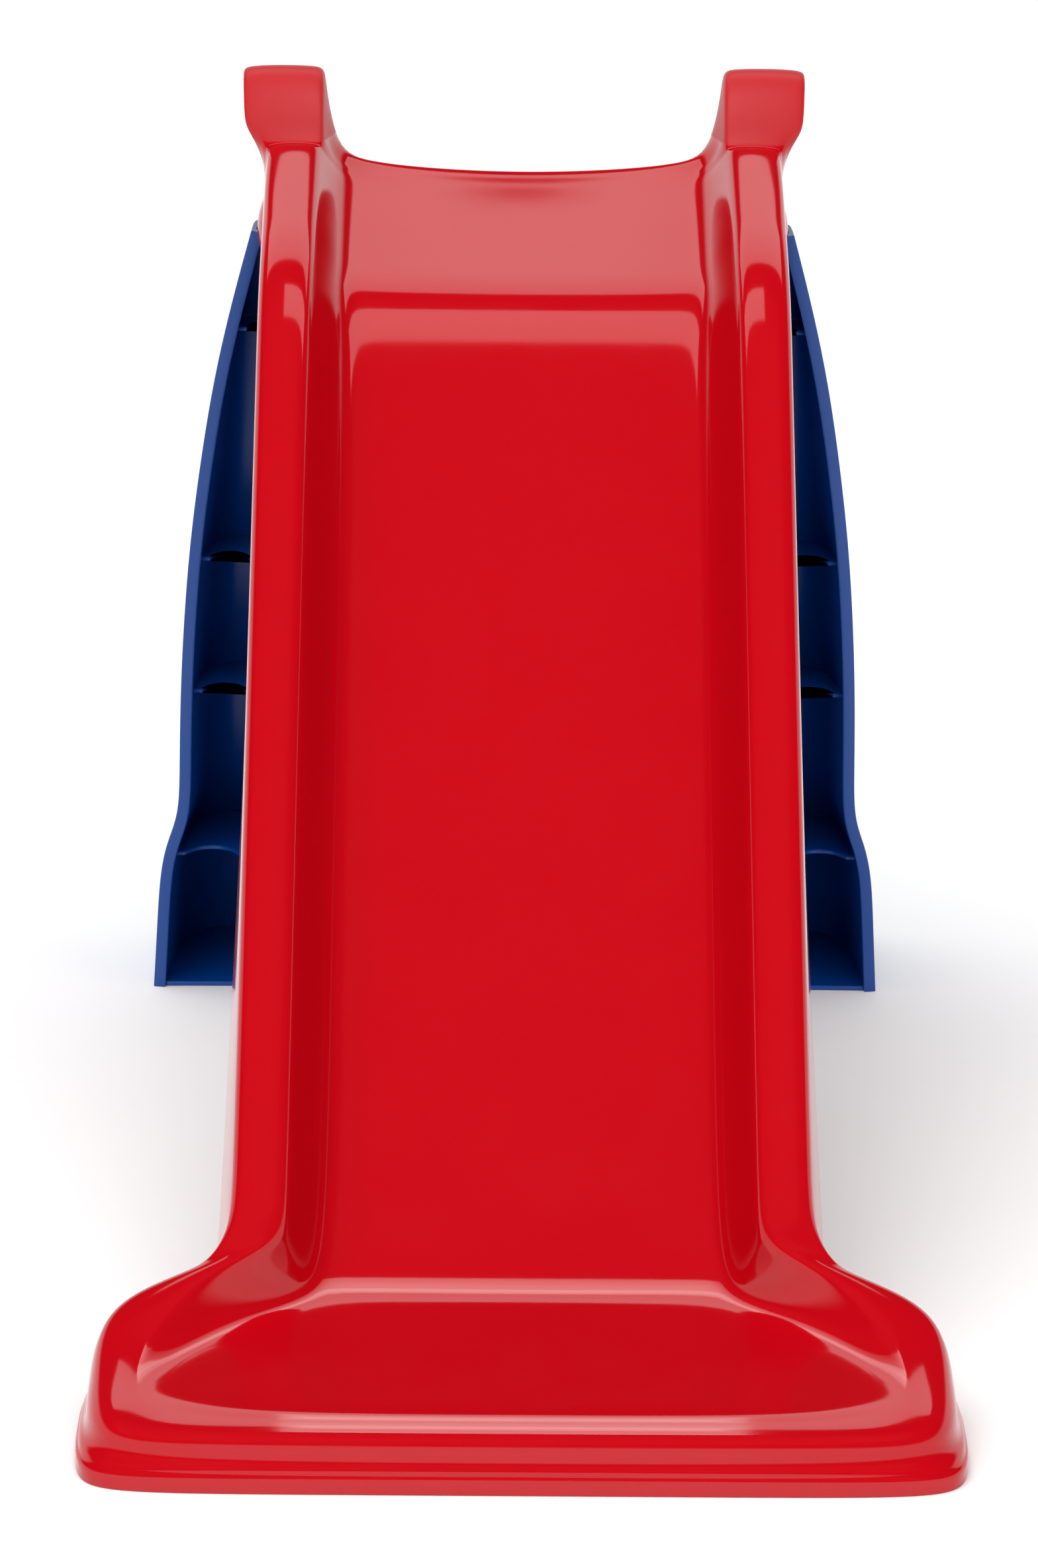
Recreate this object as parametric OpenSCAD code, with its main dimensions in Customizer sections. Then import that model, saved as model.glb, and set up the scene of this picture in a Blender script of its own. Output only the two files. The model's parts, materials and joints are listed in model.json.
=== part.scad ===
// Folding toddler slide: one thin moulded chute with hooked handle posts and a
// flared foot, and one open-fronted ladder that folds forward under it.
// Millimetres, +Z up, the chute leaves towards -Y, origin on the floor at the
// middle of the whole slide. Inside the modules u runs back from the front lip.

/* [Overall] */
// Overall length, from the front lip to the back of the ladder's foot
slide_l = 965; // [880:5:1180]
// Width of the chute's flared foot and of the ladder's foot
foot_w = 457; // [430:1:560]
// Height of the deck's rear edge above the floor
deck_h = 535; // [480:1:650]
// How far the ladder reaches behind the deck's rear edge
ladder_reach = 195; // [180:1:235]

/* [Chute] */
// Width over the side rails
rail_span = 305; // [290:1:366]
// Width of a side rail's flat top
rail_w = 30; // [26:1:34]
// Half width of the flat part of the sliding floor
floor_half = 93; // [84:1:98]
// Height of the rails above the sloping floor, square to it
rail_h = 45; // [38:1:55]
// Height of the rails above the deck
deck_rail_h = 35; // [30:1:42]
// Depth of the outer skirt below the floor, square to it
skirt_h = 45; // [38:1:52]
// Wall of the chute moulding
chute_wall = 3; // [2.5:0.1:3.6]
// Length of the run-out, front lip to bottom bend
run_l = 165; // [150:1:190]
// Height of the bottom bend above the floor
run_h = 52; // [46:1:60]
// Length of the deck, top bend to rear edge
deck_l = 150; // [130:1:170]
// Fall of the deck from its rear edge to the top bend
deck_fall = 48; // [40:1:56]
// Height of the handle posts above the deck's rear edge
post_h = 62; // [52:1:75]
// How far the deck's sides rise above that height where they run into the posts
deck_rise = 5; // [2:0.5:7]
// How far the deck's middle lies below its sides at the rear edge
deck_dish = 6; // [3:0.5:8]
// How far the handle posts' hoods stand out past the rails
hood_out = 15; // [10:1:18]
// Height of the foot's stepped flange
flange_h = 16; // [13:0.5:18]
// Height of the flange's upright edge
lip_h = 7.2; // [6:0.2:9]

/* [Hinge] */
// Distance of the hinge axis in front of the deck's rear edge
hinge_back = 5; // [0:1:10]
// Drop of the hinge axis below the deck's rear edge
hinge_drop = 35; // [32:1:40]
// Diameter of the hinge pin
pin_d = 14; // [11:0.2:17]
// Diameter of the hinge pin's head
pin_head_d = 30; // [26:1:32]
// Thickness of the hinge pin's head
pin_head_t = 2.5; // [2:0.5:3]
// Diameter of the spigot that holds the pin in the chute's boss
spigot_d = 8; // [6:0.5:10]
// Length of the spigot
spigot_l = 4; // [3:0.5:4.5]
// Wall of the hinge bushing
bush_t = 2; // [1.5:0.5:2.5]
// Length of the hinge bushing and of the ladder's hub
hub_l = 18; // [16:1:20]
// Running clearance on the pin, on the diameter
run_gap = 0.16; // [0.04:0.02:0.2]
// End clearance between pieces that turn on each other
end_gap = 0.3; // [0.2:0.1:0.5]
// Diameter of the dome outside each hinge
dome_d = 38; // [34:1:40]
// How far the dome stands out of the chute's side
dome_out = 3.2; // [2:0.2:3.6]
// Wall of the hub round its bushing
hub_wall = 6; // [4:0.5:8]
// Thickness of the spring washer, pressed flat
washer_t = 1.4; // [1:0.1:2]
// Thickness of the push-on nut
nut_t = 1.2; // [0.8:0.1:1.6]

/* [Ladder] */
// Wall of the ladder moulding
ladder_wall = 3; // [2.5:0.1:3.6]
// How far the ladder's tips stand outside the chute's cheeks
tip_out = 7; // [6:0.5:10]
// How far the side channels' inner walls stand inside the chute's outer faces
well_in = 6.5; // [5.5:0.5:14]
// How far the ladder's rim leans back from the hinge to the floor
rim_lean = 65; // [50:1:80]
// Depth of the channels at the foot
foot_depth = 125; // [110:1:135]
// Depth of the channels at the top
tip_depth = 40; // [36:1:46]
// Number of treads
treads = 3; // [2:1:4]
// Depth of a tread's skirt
tread_skirt = 26; // [20:1:32]

/* [Hidden] */

half = foot_w / 2;                       // half width of both feet
deck_u = slide_l - ladder_reach;         // the deck's rear edge
bend_u = deck_u - deck_l;                // the top bend
bend_z = deck_h - deck_fall;
slope_a = atan2(bend_z - run_h, bend_u - run_l);
deck_a = atan2(deck_fall, deck_l);
front_z = 31.3;                          // floor height where it rolls over at the front
front_u = 17;
rail_out = rail_span / 2;
rail_in = rail_out - rail_w;
hinge_u = deck_u - hinge_back;
hinge_z = deck_h - hinge_drop;
cheek_r = 27;                            // chute's cheek below the hinge axis
cheek_x = rail_out + 3.5;                // outside of the chute's cheek at the hinge
cheek_in = cheek_x - chute_wall - 1.3;   // flat face of the boss inside the cheek, where the pin is seated
rim_u = hinge_u + rim_lean;              // the ladder's front rim on the floor
toe = slide_l - rim_u - foot_depth;      // flange behind the ladder's foot
tip_z = hinge_z - 2;                     // top of the ladder's outer blades
hub_x = cheek_in - pin_head_t - end_gap; // outboard end of the ladder's hub
hub_in = hub_x - hub_l;                  // inboard end
bush_d = pin_d + run_gap + 2 * bush_t;   // outside of the bushing
tip_half = cheek_x + tip_out;            // half width over the ladder's tips
well_half = rail_out - well_in;          // the side channels' inner walls
foot_top = 118;                          // where the ladder's flared foot ends
function up(s) = mix(foot_top, tip_z, s); // a height, as a share of the way from there to the tip
web_levels = [88, up(0.21), up(0.44), hinge_z - 66];

// ---------- numbers and splines ----------
function mix(a, b, t) = a + (b - a) * t;
function flip(p) = [-p[0], p[1], p[2]];
function weights(t) = [pow(1 - t, 3), 3*t*t*t - 6*t*t + 4, -3*t*t*t + 3*t*t + 3*t + 1, t*t*t] / 6;

// One point of a uniform cubic B-spline on span i of the control points q, which carry one more at each end
function blend(q, i, t) = let (w = weights(t)) w[0]*q[i] + w[1]*q[i+1] + w[2]*q[i+2] + w[3]*q[i+3];

// A smooth line through a control polygon: m pieces to a span, starting either at its first point or,
// where it is mirrored, flat across the middle plane
function smooth(p, m, mirrored) =
    let (n = len(p),
         q = concat([mirrored ? flip(p[1]) : 2*p[0] - p[1]], p, [2*p[n-1] - p[n-2]]))
    concat([for (i = [0:n-2]) for (k = [0:m-1]) blend(q, i, k/m)], [blend(q, n-2, 1)]);

function column(g, j) = [for (r = g) r[j]];
function turned(g) = [for (j = [0:len(g[0])-1]) column(g, j)];
function skin(net, ms, mt, mirrored) =
    turned([for (c = turned([for (r = net) smooth(r, mt, mirrored)])) smooth(c, ms, mirrored)]);

// Straight-line look-up of y at x in a short list of [x, y]
function along(list, x, i = 0) =
    (i >= len(list) - 2 || x <= list[i+1][0])
        ? mix(list[i][1], list[i+1][1], (x - list[i][0]) / (list[i+1][0] - list[i][0]))
        : along(list, x, i + 1);

// ---------- a thin shell on a grid of points ----------
function unit(v) = v / norm(v);

// Outward direction at a grid point. A mirrored grid is met by its reflection at its first row and column.
function outward(g, i, j, mirrored) =
    let (ni = len(g) - 1, nj = len(g[0]) - 1,
         back = i > 0 ? g[i-1][j] : mirrored ? flip(g[1][j]) : g[0][j],
         fore = i < ni ? g[i+1][j] : g[i][j],
         left = j > 0 ? g[i][j-1] : mirrored ? flip(g[i][1]) : g[i][0],
         right = j < nj ? g[i][j+1] : g[i][j])
    (mirrored && i == 0 && j == 0)
        ? unit(cross(g[1][1] - flip(g[1][1]), g[1][0] - g[0][1]))
        : unit(cross(right - left, fore - back));

function inner_grid(g, wall, mirrored) =
    [for (i = [0:len(g)-1]) [for (j = [0:len(g[0])-1])
        let (p = g[i][j] - wall * outward(g, i, j, mirrored))
        (mirrored && (i == 0 || j == 0)) ? [0, p[1], p[2]] : p]];

// Bottom rows stay flat on the floor
function floored(g) = [for (r = g) [for (p = r) [p[0], p[1], max(0, p[2])]]];

// One patch with a thickness
module patch(g, wall) {
    ni = len(g);
    nj = len(g[0]);
    n = ni * nj;
    inside = floored(inner_grid(g, wall, false));
    points = concat([for (r = g) each r], [for (r = inside) each r]);
    function at(i, j) = i * nj + j;
    function quad(a, b, c, d) = [[a, b, c], [a, c, d]];
    faces = concat(
        [for (i = [0:ni-2]) for (j = [0:nj-2]) each quad(at(i,j), at(i+1,j), at(i+1,j+1), at(i,j+1))],
        [for (i = [0:ni-2]) for (j = [0:nj-2])
            each quad(n+at(i,j), n+at(i,j+1), n+at(i+1,j+1), n+at(i+1,j))],
        [for (i = [0:ni-2]) each quad(at(i,0), n+at(i,0), n+at(i+1,0), at(i+1,0))],
        [for (i = [0:ni-2]) each quad(at(i,nj-1), at(i+1,nj-1), n+at(i+1,nj-1), n+at(i,nj-1))],
        [for (j = [0:nj-2]) each quad(at(0,j), at(0,j+1), n+at(0,j+1), n+at(0,j))],
        [for (j = [0:nj-2]) each quad(at(ni-1,j), n+at(ni-1,j), n+at(ni-1,j+1), at(ni-1,j+1))]);
    polyhedron(points, faces);
}

// A half grid and its reflection as one shell, joined along the first row and the first column
module mirrored_shell(g, wall) {
    ni = len(g);
    nj = len(g[0]);
    n = ni * nj;
    inside = floored(inner_grid(g, wall, true));
    both = [g, inside];
    points = concat([for (s = [0,1]) each [for (r = both[s]) each r]],
                    [for (s = [0,1]) each [for (r = both[s]) each [for (p = r) flip(p)]]]);
    // s: 0 outside, 1 inside; m: 0 right half, 1 left half
    function at(s, m, i, j) = ((i == 0 || j == 0) ? 0 : 2*n*m) + n*s + i*nj + j;
    function quad(a, b, c, d, m) = m == 0 ? [[a, b, c], [a, c, d]] : [[a, c, b], [a, d, c]];
    faces = [for (m = [0,1]) each concat(
        [for (i = [0:ni-2]) for (j = [0:nj-2])
            each quad(at(0,m,i,j), at(0,m,i+1,j), at(0,m,i+1,j+1), at(0,m,i,j+1), m)],
        [for (i = [0:ni-2]) for (j = [0:nj-2])
            each quad(at(1,m,i,j), at(1,m,i,j+1), at(1,m,i+1,j+1), at(1,m,i+1,j), m)],
        [for (i = [0:ni-2])
            each quad(at(0,m,i,nj-1), at(0,m,i+1,nj-1), at(1,m,i+1,nj-1), at(1,m,i,nj-1), m)],
        [for (j = [0:nj-2])
            each quad(at(0,m,ni-1,j), at(1,m,ni-1,j), at(1,m,ni-1,j+1), at(0,m,ni-1,j+1), m)])];
    polyhedron(points, faces);
}

// ---------- chute ----------
// Floor height of the run-out
function run_z(u) = mix(front_z, run_h, (u - front_u) / (run_l - front_u));
function on_floor(x, u) = [x, u, run_z(u)];

// A row of the foot, from the middle of the floor out over the crest and down the stepped flange.
// e: bottom edge, r: foot of the wall, o and i: outer and inner edge of the crest, a: edge of the floor,
// c: how far back the row starts on the centre line
function foot_row(e, r, o, i, a, c) =
    let (za = run_z(a[1]), h = i[2] - za, drop = o[2] - flange_h)
    [on_floor(0, c),
     on_floor(a[0] * 0.55, mix(c, a[1], 0.55)),
     on_floor(a[0], a[1]),
     [mix(a[0], i[0], 0.4), mix(a[1], i[1], 0.4), za + 0.12 * h],
     [mix(a[0], i[0], 0.85), mix(a[1], i[1], 0.85), za + 0.85 * h],
     i, o,
     [mix(o[0], r[0], 0.55), mix(o[1], r[1], 0.55), o[2] - 0.16 * drop],
     [mix(o[0], r[0], 0.97), mix(o[1], r[1], 0.97), o[2] - 0.5 * drop],
     [r[0], r[1], flange_h],
     [mix(r[0], e[0], 0.95), mix(r[1], e[1], 0.95), lip_h + 2],
     [e[0], e[1], lip_h],
     [e[0], e[1], 0]];

// A row higher up: f is the floor, t the rail's top and k the skirt's edge, all seen from the side.
// wi and wo are the rail's edges, wk is the skirt's edge and wm the wall just under the rail. dish sinks
// the middle of the floor, and crisp squares the rail's shoulders and fills its fillet, as on the posts.
function upper_row(f, t, k, wf, wi, wo, wm, wk, dish = 0, crisp = 0) =
    let (lift = mix(0.07, 0.12, crisp), wall = mix(0.8, 0.94, crisp), drop = mix(0.1, 0.04, crisp))
    [[0, f[0], f[1] - dish],
     [wf * 0.55, f[0], f[1] - 0.7 * dish],
     [wf, f[0], f[1]],
     [mix(wf, wi, mix(0.45, 0.7, crisp)), mix(f[0], t[0], lift), mix(f[1], t[1], lift)],
     [wi - 2 + crisp, mix(f[0], t[0], wall), mix(f[1], t[1], wall)],
     [wi + 1 - 2 * crisp, t[0], t[1]],
     [wo - 2 + 2 * crisp, t[0], t[1]],
     [wo, mix(t[0], k[0], drop), mix(t[1], k[1], drop)],
     [wm, mix(t[0], k[0], 0.24), mix(t[1], k[1], 0.24)],
     [mix(wm, wk, 0.4), mix(t[0], k[0], 0.5), mix(t[1], k[1], 0.5)],
     [mix(wm, wk, 0.8), mix(t[0], k[0], 0.8), mix(t[1], k[1], 0.8)],
     [wk, mix(t[0], k[0], 0.93), mix(t[1], k[1], 0.93)],
     [wk, k[0], k[1]]];

// A row square to the slope, a share s of the way up it. The skirt flares a little towards the foot.
function slope_row(s) =
    let (f = [mix(run_l, bend_u, s), mix(run_h, bend_z, s)], n = [-sin(slope_a), cos(slope_a)],
         flare = 1 - min(1, 1.6 * s))
    upper_row(f, f + rail_h * n, f - skirt_h * n, floor_half, rail_in, rail_out,
              rail_out + mix(0.5, 2, flare), rail_out + mix(2, 10.5, flare));

// A row of the deck, d in front of its rear edge, with the skirt's edge given
function deck_row(d, k, dish = 0) =
    let (f = [deck_u - d * cos(deck_a), deck_h - d * sin(deck_a)], n = [-sin(deck_a), cos(deck_a)],
         rise = [0, deck_rise * max(0, 1 - d / deck_l)])
    upper_row(f + rise, f + deck_rail_h * n, k, floor_half + 3, rail_in, rail_out, rail_out + 0.5, cheek_x,
              dish);

// A row through a handle post, with the post's face at t measured from the deck's rear edge
function post_row(f, t, k, out, crisp = 1) =
    upper_row([deck_u + f[0], deck_h + f[1]], [deck_u + t[0], deck_h + t[1]], k, rail_in - mix(8, 28, crisp),
              rail_in - 2, rail_out + 1 + out, rail_out + 1, cheek_x,
              deck_dish * (1 + min(0, f[0] / deck_l)), crisp);

// The skirt's edge goes round under the hinge: a point at angle a, 270 at the bottom
function cheek(a) = [hinge_u + cheek_r * cos(a), hinge_z + cheek_r * sin(a)];

side = half - 6.5;                        // outside of the foot's wall above the flange
foot_rows = [
    foot_row([0, 0], [0, 5.5], [0, front_u - 5, front_z - 2], [0, front_u + 3, front_z], [0, 32], 105),
    foot_row([75, 0], [75, 5.5], [74, front_u - 5, front_z - 2], [73, front_u + 3, front_z], [66, 32], 107),
    foot_row([half - 68, 0], [half - 70, 6.5], [half - 75, 13, front_z - 2], [half - 81, 21, front_z],
             [half - 98, 34], 110),
    foot_row([half - 25, 2.5], [half - 31, 11], [half - 39, 19, 30], [half - 48, 28, 32],
             [half - 67, 43], 114),
    foot_row([half - 4, 12], [half - 13, 22], [half - 21, 29, 32.5], [half - 32, 38, 35],
             [half - 55, 54], 118),
    foot_row([half + 0.2, 43], [side + 1.5, 47], [side - 8, 51, 36.5], [side - 22, 57, 39.5],
             [half - 54, 69], 122),
    foot_row([half, 78], [side + 1.5, 80], [side - 6, 81, 43], [side - 26, 84, 48], [half - 62, 90], 127),
    foot_row([half, 108], [side + 1.5, 106], [side - 9, 106, 57], [side - 40, 108, 63],
             [half - 80, 112], 133),
    foot_row([half - 9, 124], [side - 6, 122], [side - 22, 126, 65], [side - 59, 128, 74],
             [half - 102, 132], 141),
    foot_row([half - 46, 136], [side - 46, 134], [side - 58, 140, 72], [rail_in + 8, 141, 84],
             [half - 120, 148], 148)
];
upper_rows = [
    upper_row([run_l, run_h + 3], [run_l - 19, run_h + 41], [run_l + 15, 2], floor_half + 6, rail_in + 1,
              rail_out + 1, rail_out + 4, rail_out + 12),
    slope_row(0.06), slope_row(0.3), slope_row(0.58), slope_row(0.84), slope_row(0.955),
    deck_row(152, [bend_u + 40, bend_z - 44]),
    deck_row(120, [bend_u + 64, bend_z - 36], 0.2 * deck_dish),
    deck_row(80, cheek(200), 0.47 * deck_dish),
    deck_row(50, cheek(220), 0.65 * deck_dish),
    deck_row(30, cheek(240), 0.8 * deck_dish),
    post_row([-20, deck_rise - 7.1], [-35, 20], cheek(250), hood_out - 14, 0.5),
    post_row([-15, deck_rise - 5.3], [-30, 27], cheek(256), hood_out - 11, 0.75),
    post_row([-11, deck_rise - 3.9], [-27, 32], cheek(261), hood_out - 2),
    post_row([-7, deck_rise - 2.5], [-21, 43], cheek(266), hood_out - 1),
    post_row([-2, deck_rise - 0.6], [-8, post_h - 1], cheek(276), hood_out),
    post_row([3, deck_rise], [10, post_h + 1], cheek(290), hood_out),
    post_row([5, deck_rise - 5], [30, post_h - 9], cheek(306), hood_out - 1),
    post_row([6, -16], [37, 34], cheek(324), hood_out - 11),
    post_row([6, -34], [35, -8], cheek(345), -1)
];
chute_net = concat(foot_rows, upper_rows);

module at_front() { translate([0, -slide_l / 2, 0]) children(); }

// Puts a piece that is drawn along +Z at the hinge, pointing outboard on the right
module at_hinge(x) { translate([x, hinge_u, hinge_z]) rotate([0, 90, 0]) children(); }

module dome() {
    rise = dome_out + 1;
    ball = (dome_d * dome_d / 4 + rise * rise) / (2 * rise);
    at_hinge(cheek_x - 1) rotate_extrude($fn = 48) intersection() {
        translate([0, rise - ball]) circle(ball, $fn = 128);
        square([dome_d / 2, rise]);
    }
}

// The boss inside each cheek, with the blind hole that the hinge pin's spigot is pressed into
module boss() {
    at_hinge(cheek_in) cylinder(d = pin_head_d + 3, h = cheek_x - 0.8 - cheek_in, $fn = 64);
}

module chute() {
    color("crimson") at_front() difference() {
        union() {
            mirrored_shell(skin(chute_net, 2, 2, true), chute_wall);
            for (m = [0, 1]) mirror([m, 0, 0]) { dome(); boss(); }
        }
        for (m = [0, 1]) mirror([m, 0, 0])
            at_hinge(cheek_in - 1) cylinder(d = spigot_d, h = spigot_l + 1, $fn = 48);
    }
}

// ---------- ladder ----------
// Outline of the ladder seen from the front: [height, share of the way out from the tip to the foot]
edge = [[0, 1], [79, 0.925], [100, 0.85], [foot_top, 0.735], [up(0.21), 0.71], [up(0.39), 0.65],
        [up(0.51), 0.58], [up(0.63), 0.48], [up(0.77), 0.345], [up(0.89), 0.175], [tip_z, 0]];
function edge_x(z) = mix(tip_half, half, along(edge, z));
function well_x(z) = z < hinge_z - 200 ? well_half : mix(well_half, hub_in, (z - hinge_z + 200) / 200);
function rim_at(z) = mix(rim_u, hinge_u, z / hinge_z);
function depth_at(z) =
    along([[0, foot_depth], [79, foot_depth - 8], [foot_top, foot_depth - 30], [tip_z, tip_depth]], z);

// How much the blade curves inwards: fully low down, hardly at all where it passes the chute's cheek
function curl(z) = along([[0, 1], [tip_z - 150, 1], [tip_z - 45, 0.2], [tip_z, 0.05]], z);

// A level row of a side channel: outer blade, rounded back, inner wall
function channel_row(z) =
    let (x = edge_x(z), w = well_x(z), d = depth_at(z), r = rim_at(z), k = curl(z), back = mix(w, x, 0.45))
    [for (p = [[x, 0], [x - 1.5 * k, 8], [x - 5 * k, 18], [x - 8 * k, 0.5 * d], [x - 13 * k, 0.84 * d],
               [mix(x, back, 0.2 + 0.52 * k), d], [back, d], [w + 8, d], [w, 0.86 * d], [w, 0.5 * d], [w, 0]])
        [p[0], r + p[1], z]];
channel_levels = [0, 40, 79, 100, foot_top,
                  for (s = [0.085, 0.215, 0.35, 0.48, 0.61, 0.74, 0.85, 0.94, 1]) up(s)];
channel_net = [for (z = channel_levels) channel_row(z)];

// A scalloped web across a channel
module web(z) {
    x = edge_x(z);
    w = well_x(z);
    d = depth_at(z);
    r = rim_at(z);
    k = curl(z);
    notch = (x - 9 - w) * 0.52;
    translate([0, 0, z - ladder_wall / 2]) linear_extrude(ladder_wall) difference() {
        polygon([[w + 1, r + 3], [x - 4 * k, r + 12], [x - 6.5 * k, r + 20], [x - 9.5 * k - 1, r + 0.5 * d],
                 [x - 14.5 * k - 1, r + 0.8 * d], [mix(x, w, 0.5), r + d - 1.5], [w + 9, r + d - 1.5],
                 [w + 1, r + 0.8 * d]]);
        translate([x - 13 - notch / 2, r + 2]) resize([notch, 46]) circle(20, $fn = 64);
    }
}

// A cross piece between the channels: a level top with a skirt at front and back
module tread(z) {
    w = well_x(z) + 1;
    r = rim_at(z) + 6;
    d = depth_at(z) - 8;
    t = ladder_wall;
    translate([-w, r, z - t]) cube([2 * w, d, t]);
    for (y = [0, d - t]) translate([-w, r + y, z - tread_skirt]) cube([2 * w, t, tread_skirt]);
    for (x = [-2:2]) translate([x * w / 3 - t / 2, r, z - tread_skirt + 4]) cube([t, d, tread_skirt - 4]);
}

// The hub, on a plate that widens down into the channel
module hub() {
    carrier_r = 20;
    neck_z = tip_z - 70;
    neck_w = 38;
    at_hinge(hub_in) cylinder(d = bush_d + 2 * hub_wall, h = hub_l, $fn = 64);
    translate([hub_in, 0, 0]) rotate([90, 0, 90]) linear_extrude(ladder_wall) {
        translate([hinge_u, hinge_z]) circle(carrier_r, $fn = 64);
        polygon([[hinge_u - carrier_r + 2, hinge_z - 8], [rim_at(neck_z), neck_z],
                 [rim_at(neck_z) + neck_w, neck_z], [hinge_u + carrier_r - 2, hinge_z - 8]]);
    }
}

module foot_plate() {
    x = edge_x(0);
    d = foot_depth;
    linear_extrude(ladder_wall) {
        polygon([[well_half + 1, rim_u + 2], [x - 2, rim_u + 1], [x - 6, rim_u + 0.5 * d],
                 [x - 13, rim_u + 0.82 * d], [x - 30, rim_u + d], [well_half + 6, rim_u + d],
                 [well_half + 1, rim_u + 0.8 * d]]);
    }
}

module ladder() {
    color("midnightblue") at_front() difference() {
        ladder_body();
        for (m = [0, 1]) mirror([m, 0, 0]) at_hinge(hub_in - 6) cylinder(d = bush_d, h = hub_l + 8, $fn = 64);
    }
}

module ladder_body() {
    base_h = 40;
    w = well_half + 1;
    back = rim_u + foot_depth - base_h;
    for (m = [0, 1]) mirror([m, 0, 0]) {
        patch(skin(channel_net, 2, 2, false), ladder_wall);
        for (z = web_levels) web(z);
        hub();
        foot_plate();
    }
    for (i = [1:treads]) tread(i * (deck_h - 5) / (treads + 1));
    tread(hinge_z - 16);
    translate([-w, back, 0]) cube([2 * w, base_h + toe, ladder_wall]);
    translate([-w, back, 0]) cube([2 * w, ladder_wall, base_h]);
}

// ---------- hinge hardware ----------
module on_side(m) { at_front() mirror([m, 0, 0]) children(); }

module hinge_pin(m) {
    color("white") on_side(m) {
        at_hinge(cheek_in) cylinder(d = spigot_d, h = spigot_l, $fn = 48);
        at_hinge(cheek_in - pin_head_t) cylinder(d = pin_head_d, h = pin_head_t, $fn = 64);
        at_hinge(hub_in - 6) cylinder(d = pin_d, h = cheek_in - pin_head_t - hub_in + 6, $fn = 64);
    }
}

module bushing(m) {
    color("dimgray") on_side(m) at_hinge(hub_in) difference() {
        cylinder(d = bush_d, h = hub_l, $fn = 64);
        translate([0, 0, -1]) cylinder(d = pin_d + run_gap, h = hub_l + 2, $fn = 64);
    }
}

module spring_washer(m) {
    color("silver") on_side(m) at_hinge(hub_in - end_gap - washer_t) difference() {
        cylinder(d = pin_d + 9, h = washer_t, $fn = 64);
        translate([0, 0, -1]) cylinder(d = pin_d + run_gap, h = washer_t + 2, $fn = 64);
    }
}

module push_nut(m) {
    color("silver") on_side(m) at_hinge(hub_in - end_gap - washer_t - nut_t) difference() {
        cylinder(d = pin_d + 8, h = nut_t, $fn = 64);
        translate([0, 0, -1]) cylinder(d = pin_d, h = nut_t + 2, $fn = 64);
    }
}

chute();
ladder();
hinge_pin(1);  // hinge_pin_left
hinge_pin(0);  // hinge_pin_right
bushing(1);  // bushing_left
bushing(0);  // bushing_right
spring_washer(1);  // spring_washer_left
spring_washer(0);  // spring_washer_right
push_nut(1);  // push_nut_left
push_nut(0);  // push_nut_right
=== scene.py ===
"""The looks of a folding toddler slide: one glossy red moulded chute on one blue open-fronted ladder.

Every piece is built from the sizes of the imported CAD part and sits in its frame: metres, +Z up, the
chute leaving towards -Y, origin on the floor under the middle. Inside the classes sizes are in
millimetres, and u runs back from the front lip. The mouldings are smooth spline surfaces with a real
wall thickness. Geometry Nodes make what repeats: the treads' grip bars and the push nuts' teeth.
"""

import json
import logging
import math
from dataclasses import dataclass, field
from enum import Enum
from typing import Any, Callable, Iterable, Optional, Sequence, Union

import bmesh
import bpy
import numpy as np
from mathutils import Matrix, Vector


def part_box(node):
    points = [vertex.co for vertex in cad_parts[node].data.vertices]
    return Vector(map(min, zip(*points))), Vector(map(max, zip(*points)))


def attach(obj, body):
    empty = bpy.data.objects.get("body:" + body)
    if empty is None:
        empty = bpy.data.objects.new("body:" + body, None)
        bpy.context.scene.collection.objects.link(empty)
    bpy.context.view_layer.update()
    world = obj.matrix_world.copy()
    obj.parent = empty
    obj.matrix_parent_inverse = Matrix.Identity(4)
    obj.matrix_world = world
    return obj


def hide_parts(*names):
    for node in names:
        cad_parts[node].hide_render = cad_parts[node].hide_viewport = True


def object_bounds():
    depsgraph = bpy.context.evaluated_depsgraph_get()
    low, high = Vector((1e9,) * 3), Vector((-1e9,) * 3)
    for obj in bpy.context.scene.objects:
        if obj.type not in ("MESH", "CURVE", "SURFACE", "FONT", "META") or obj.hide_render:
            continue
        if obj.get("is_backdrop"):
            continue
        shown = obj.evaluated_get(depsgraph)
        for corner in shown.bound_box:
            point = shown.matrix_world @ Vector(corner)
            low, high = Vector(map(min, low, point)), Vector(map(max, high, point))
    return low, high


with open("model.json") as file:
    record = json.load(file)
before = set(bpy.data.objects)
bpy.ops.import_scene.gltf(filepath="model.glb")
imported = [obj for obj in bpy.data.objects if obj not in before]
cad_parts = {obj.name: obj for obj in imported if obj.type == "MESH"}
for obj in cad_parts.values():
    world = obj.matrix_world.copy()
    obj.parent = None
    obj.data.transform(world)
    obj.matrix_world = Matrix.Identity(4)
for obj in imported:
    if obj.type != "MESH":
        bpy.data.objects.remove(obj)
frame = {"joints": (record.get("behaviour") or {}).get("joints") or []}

LOG = logging.getLogger("slide")
MM = 0.001
FLIP = np.array([-1.0, 1.0, 1.0])
Colour = tuple[float, float, float, float]
Point = Sequence[float]


class Body(Enum):
    """The CAD bodies that pieces ride on."""

    CHUTE = "chute_body"
    LADDER = "ladder_body"


class Slot(Enum):
    """The record's material slots."""

    CHUTE = "chute_plastic"
    LADDER = "ladder_plastic"
    SPRING = "spring_steel"


class Side(Enum):
    """The two sides of the slide, with the sign of their X."""

    RIGHT = 1
    LEFT = -1

    @property
    def word(self) -> str:
        """The side as it is written in a node's name."""
        return self.name.lower()


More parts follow.
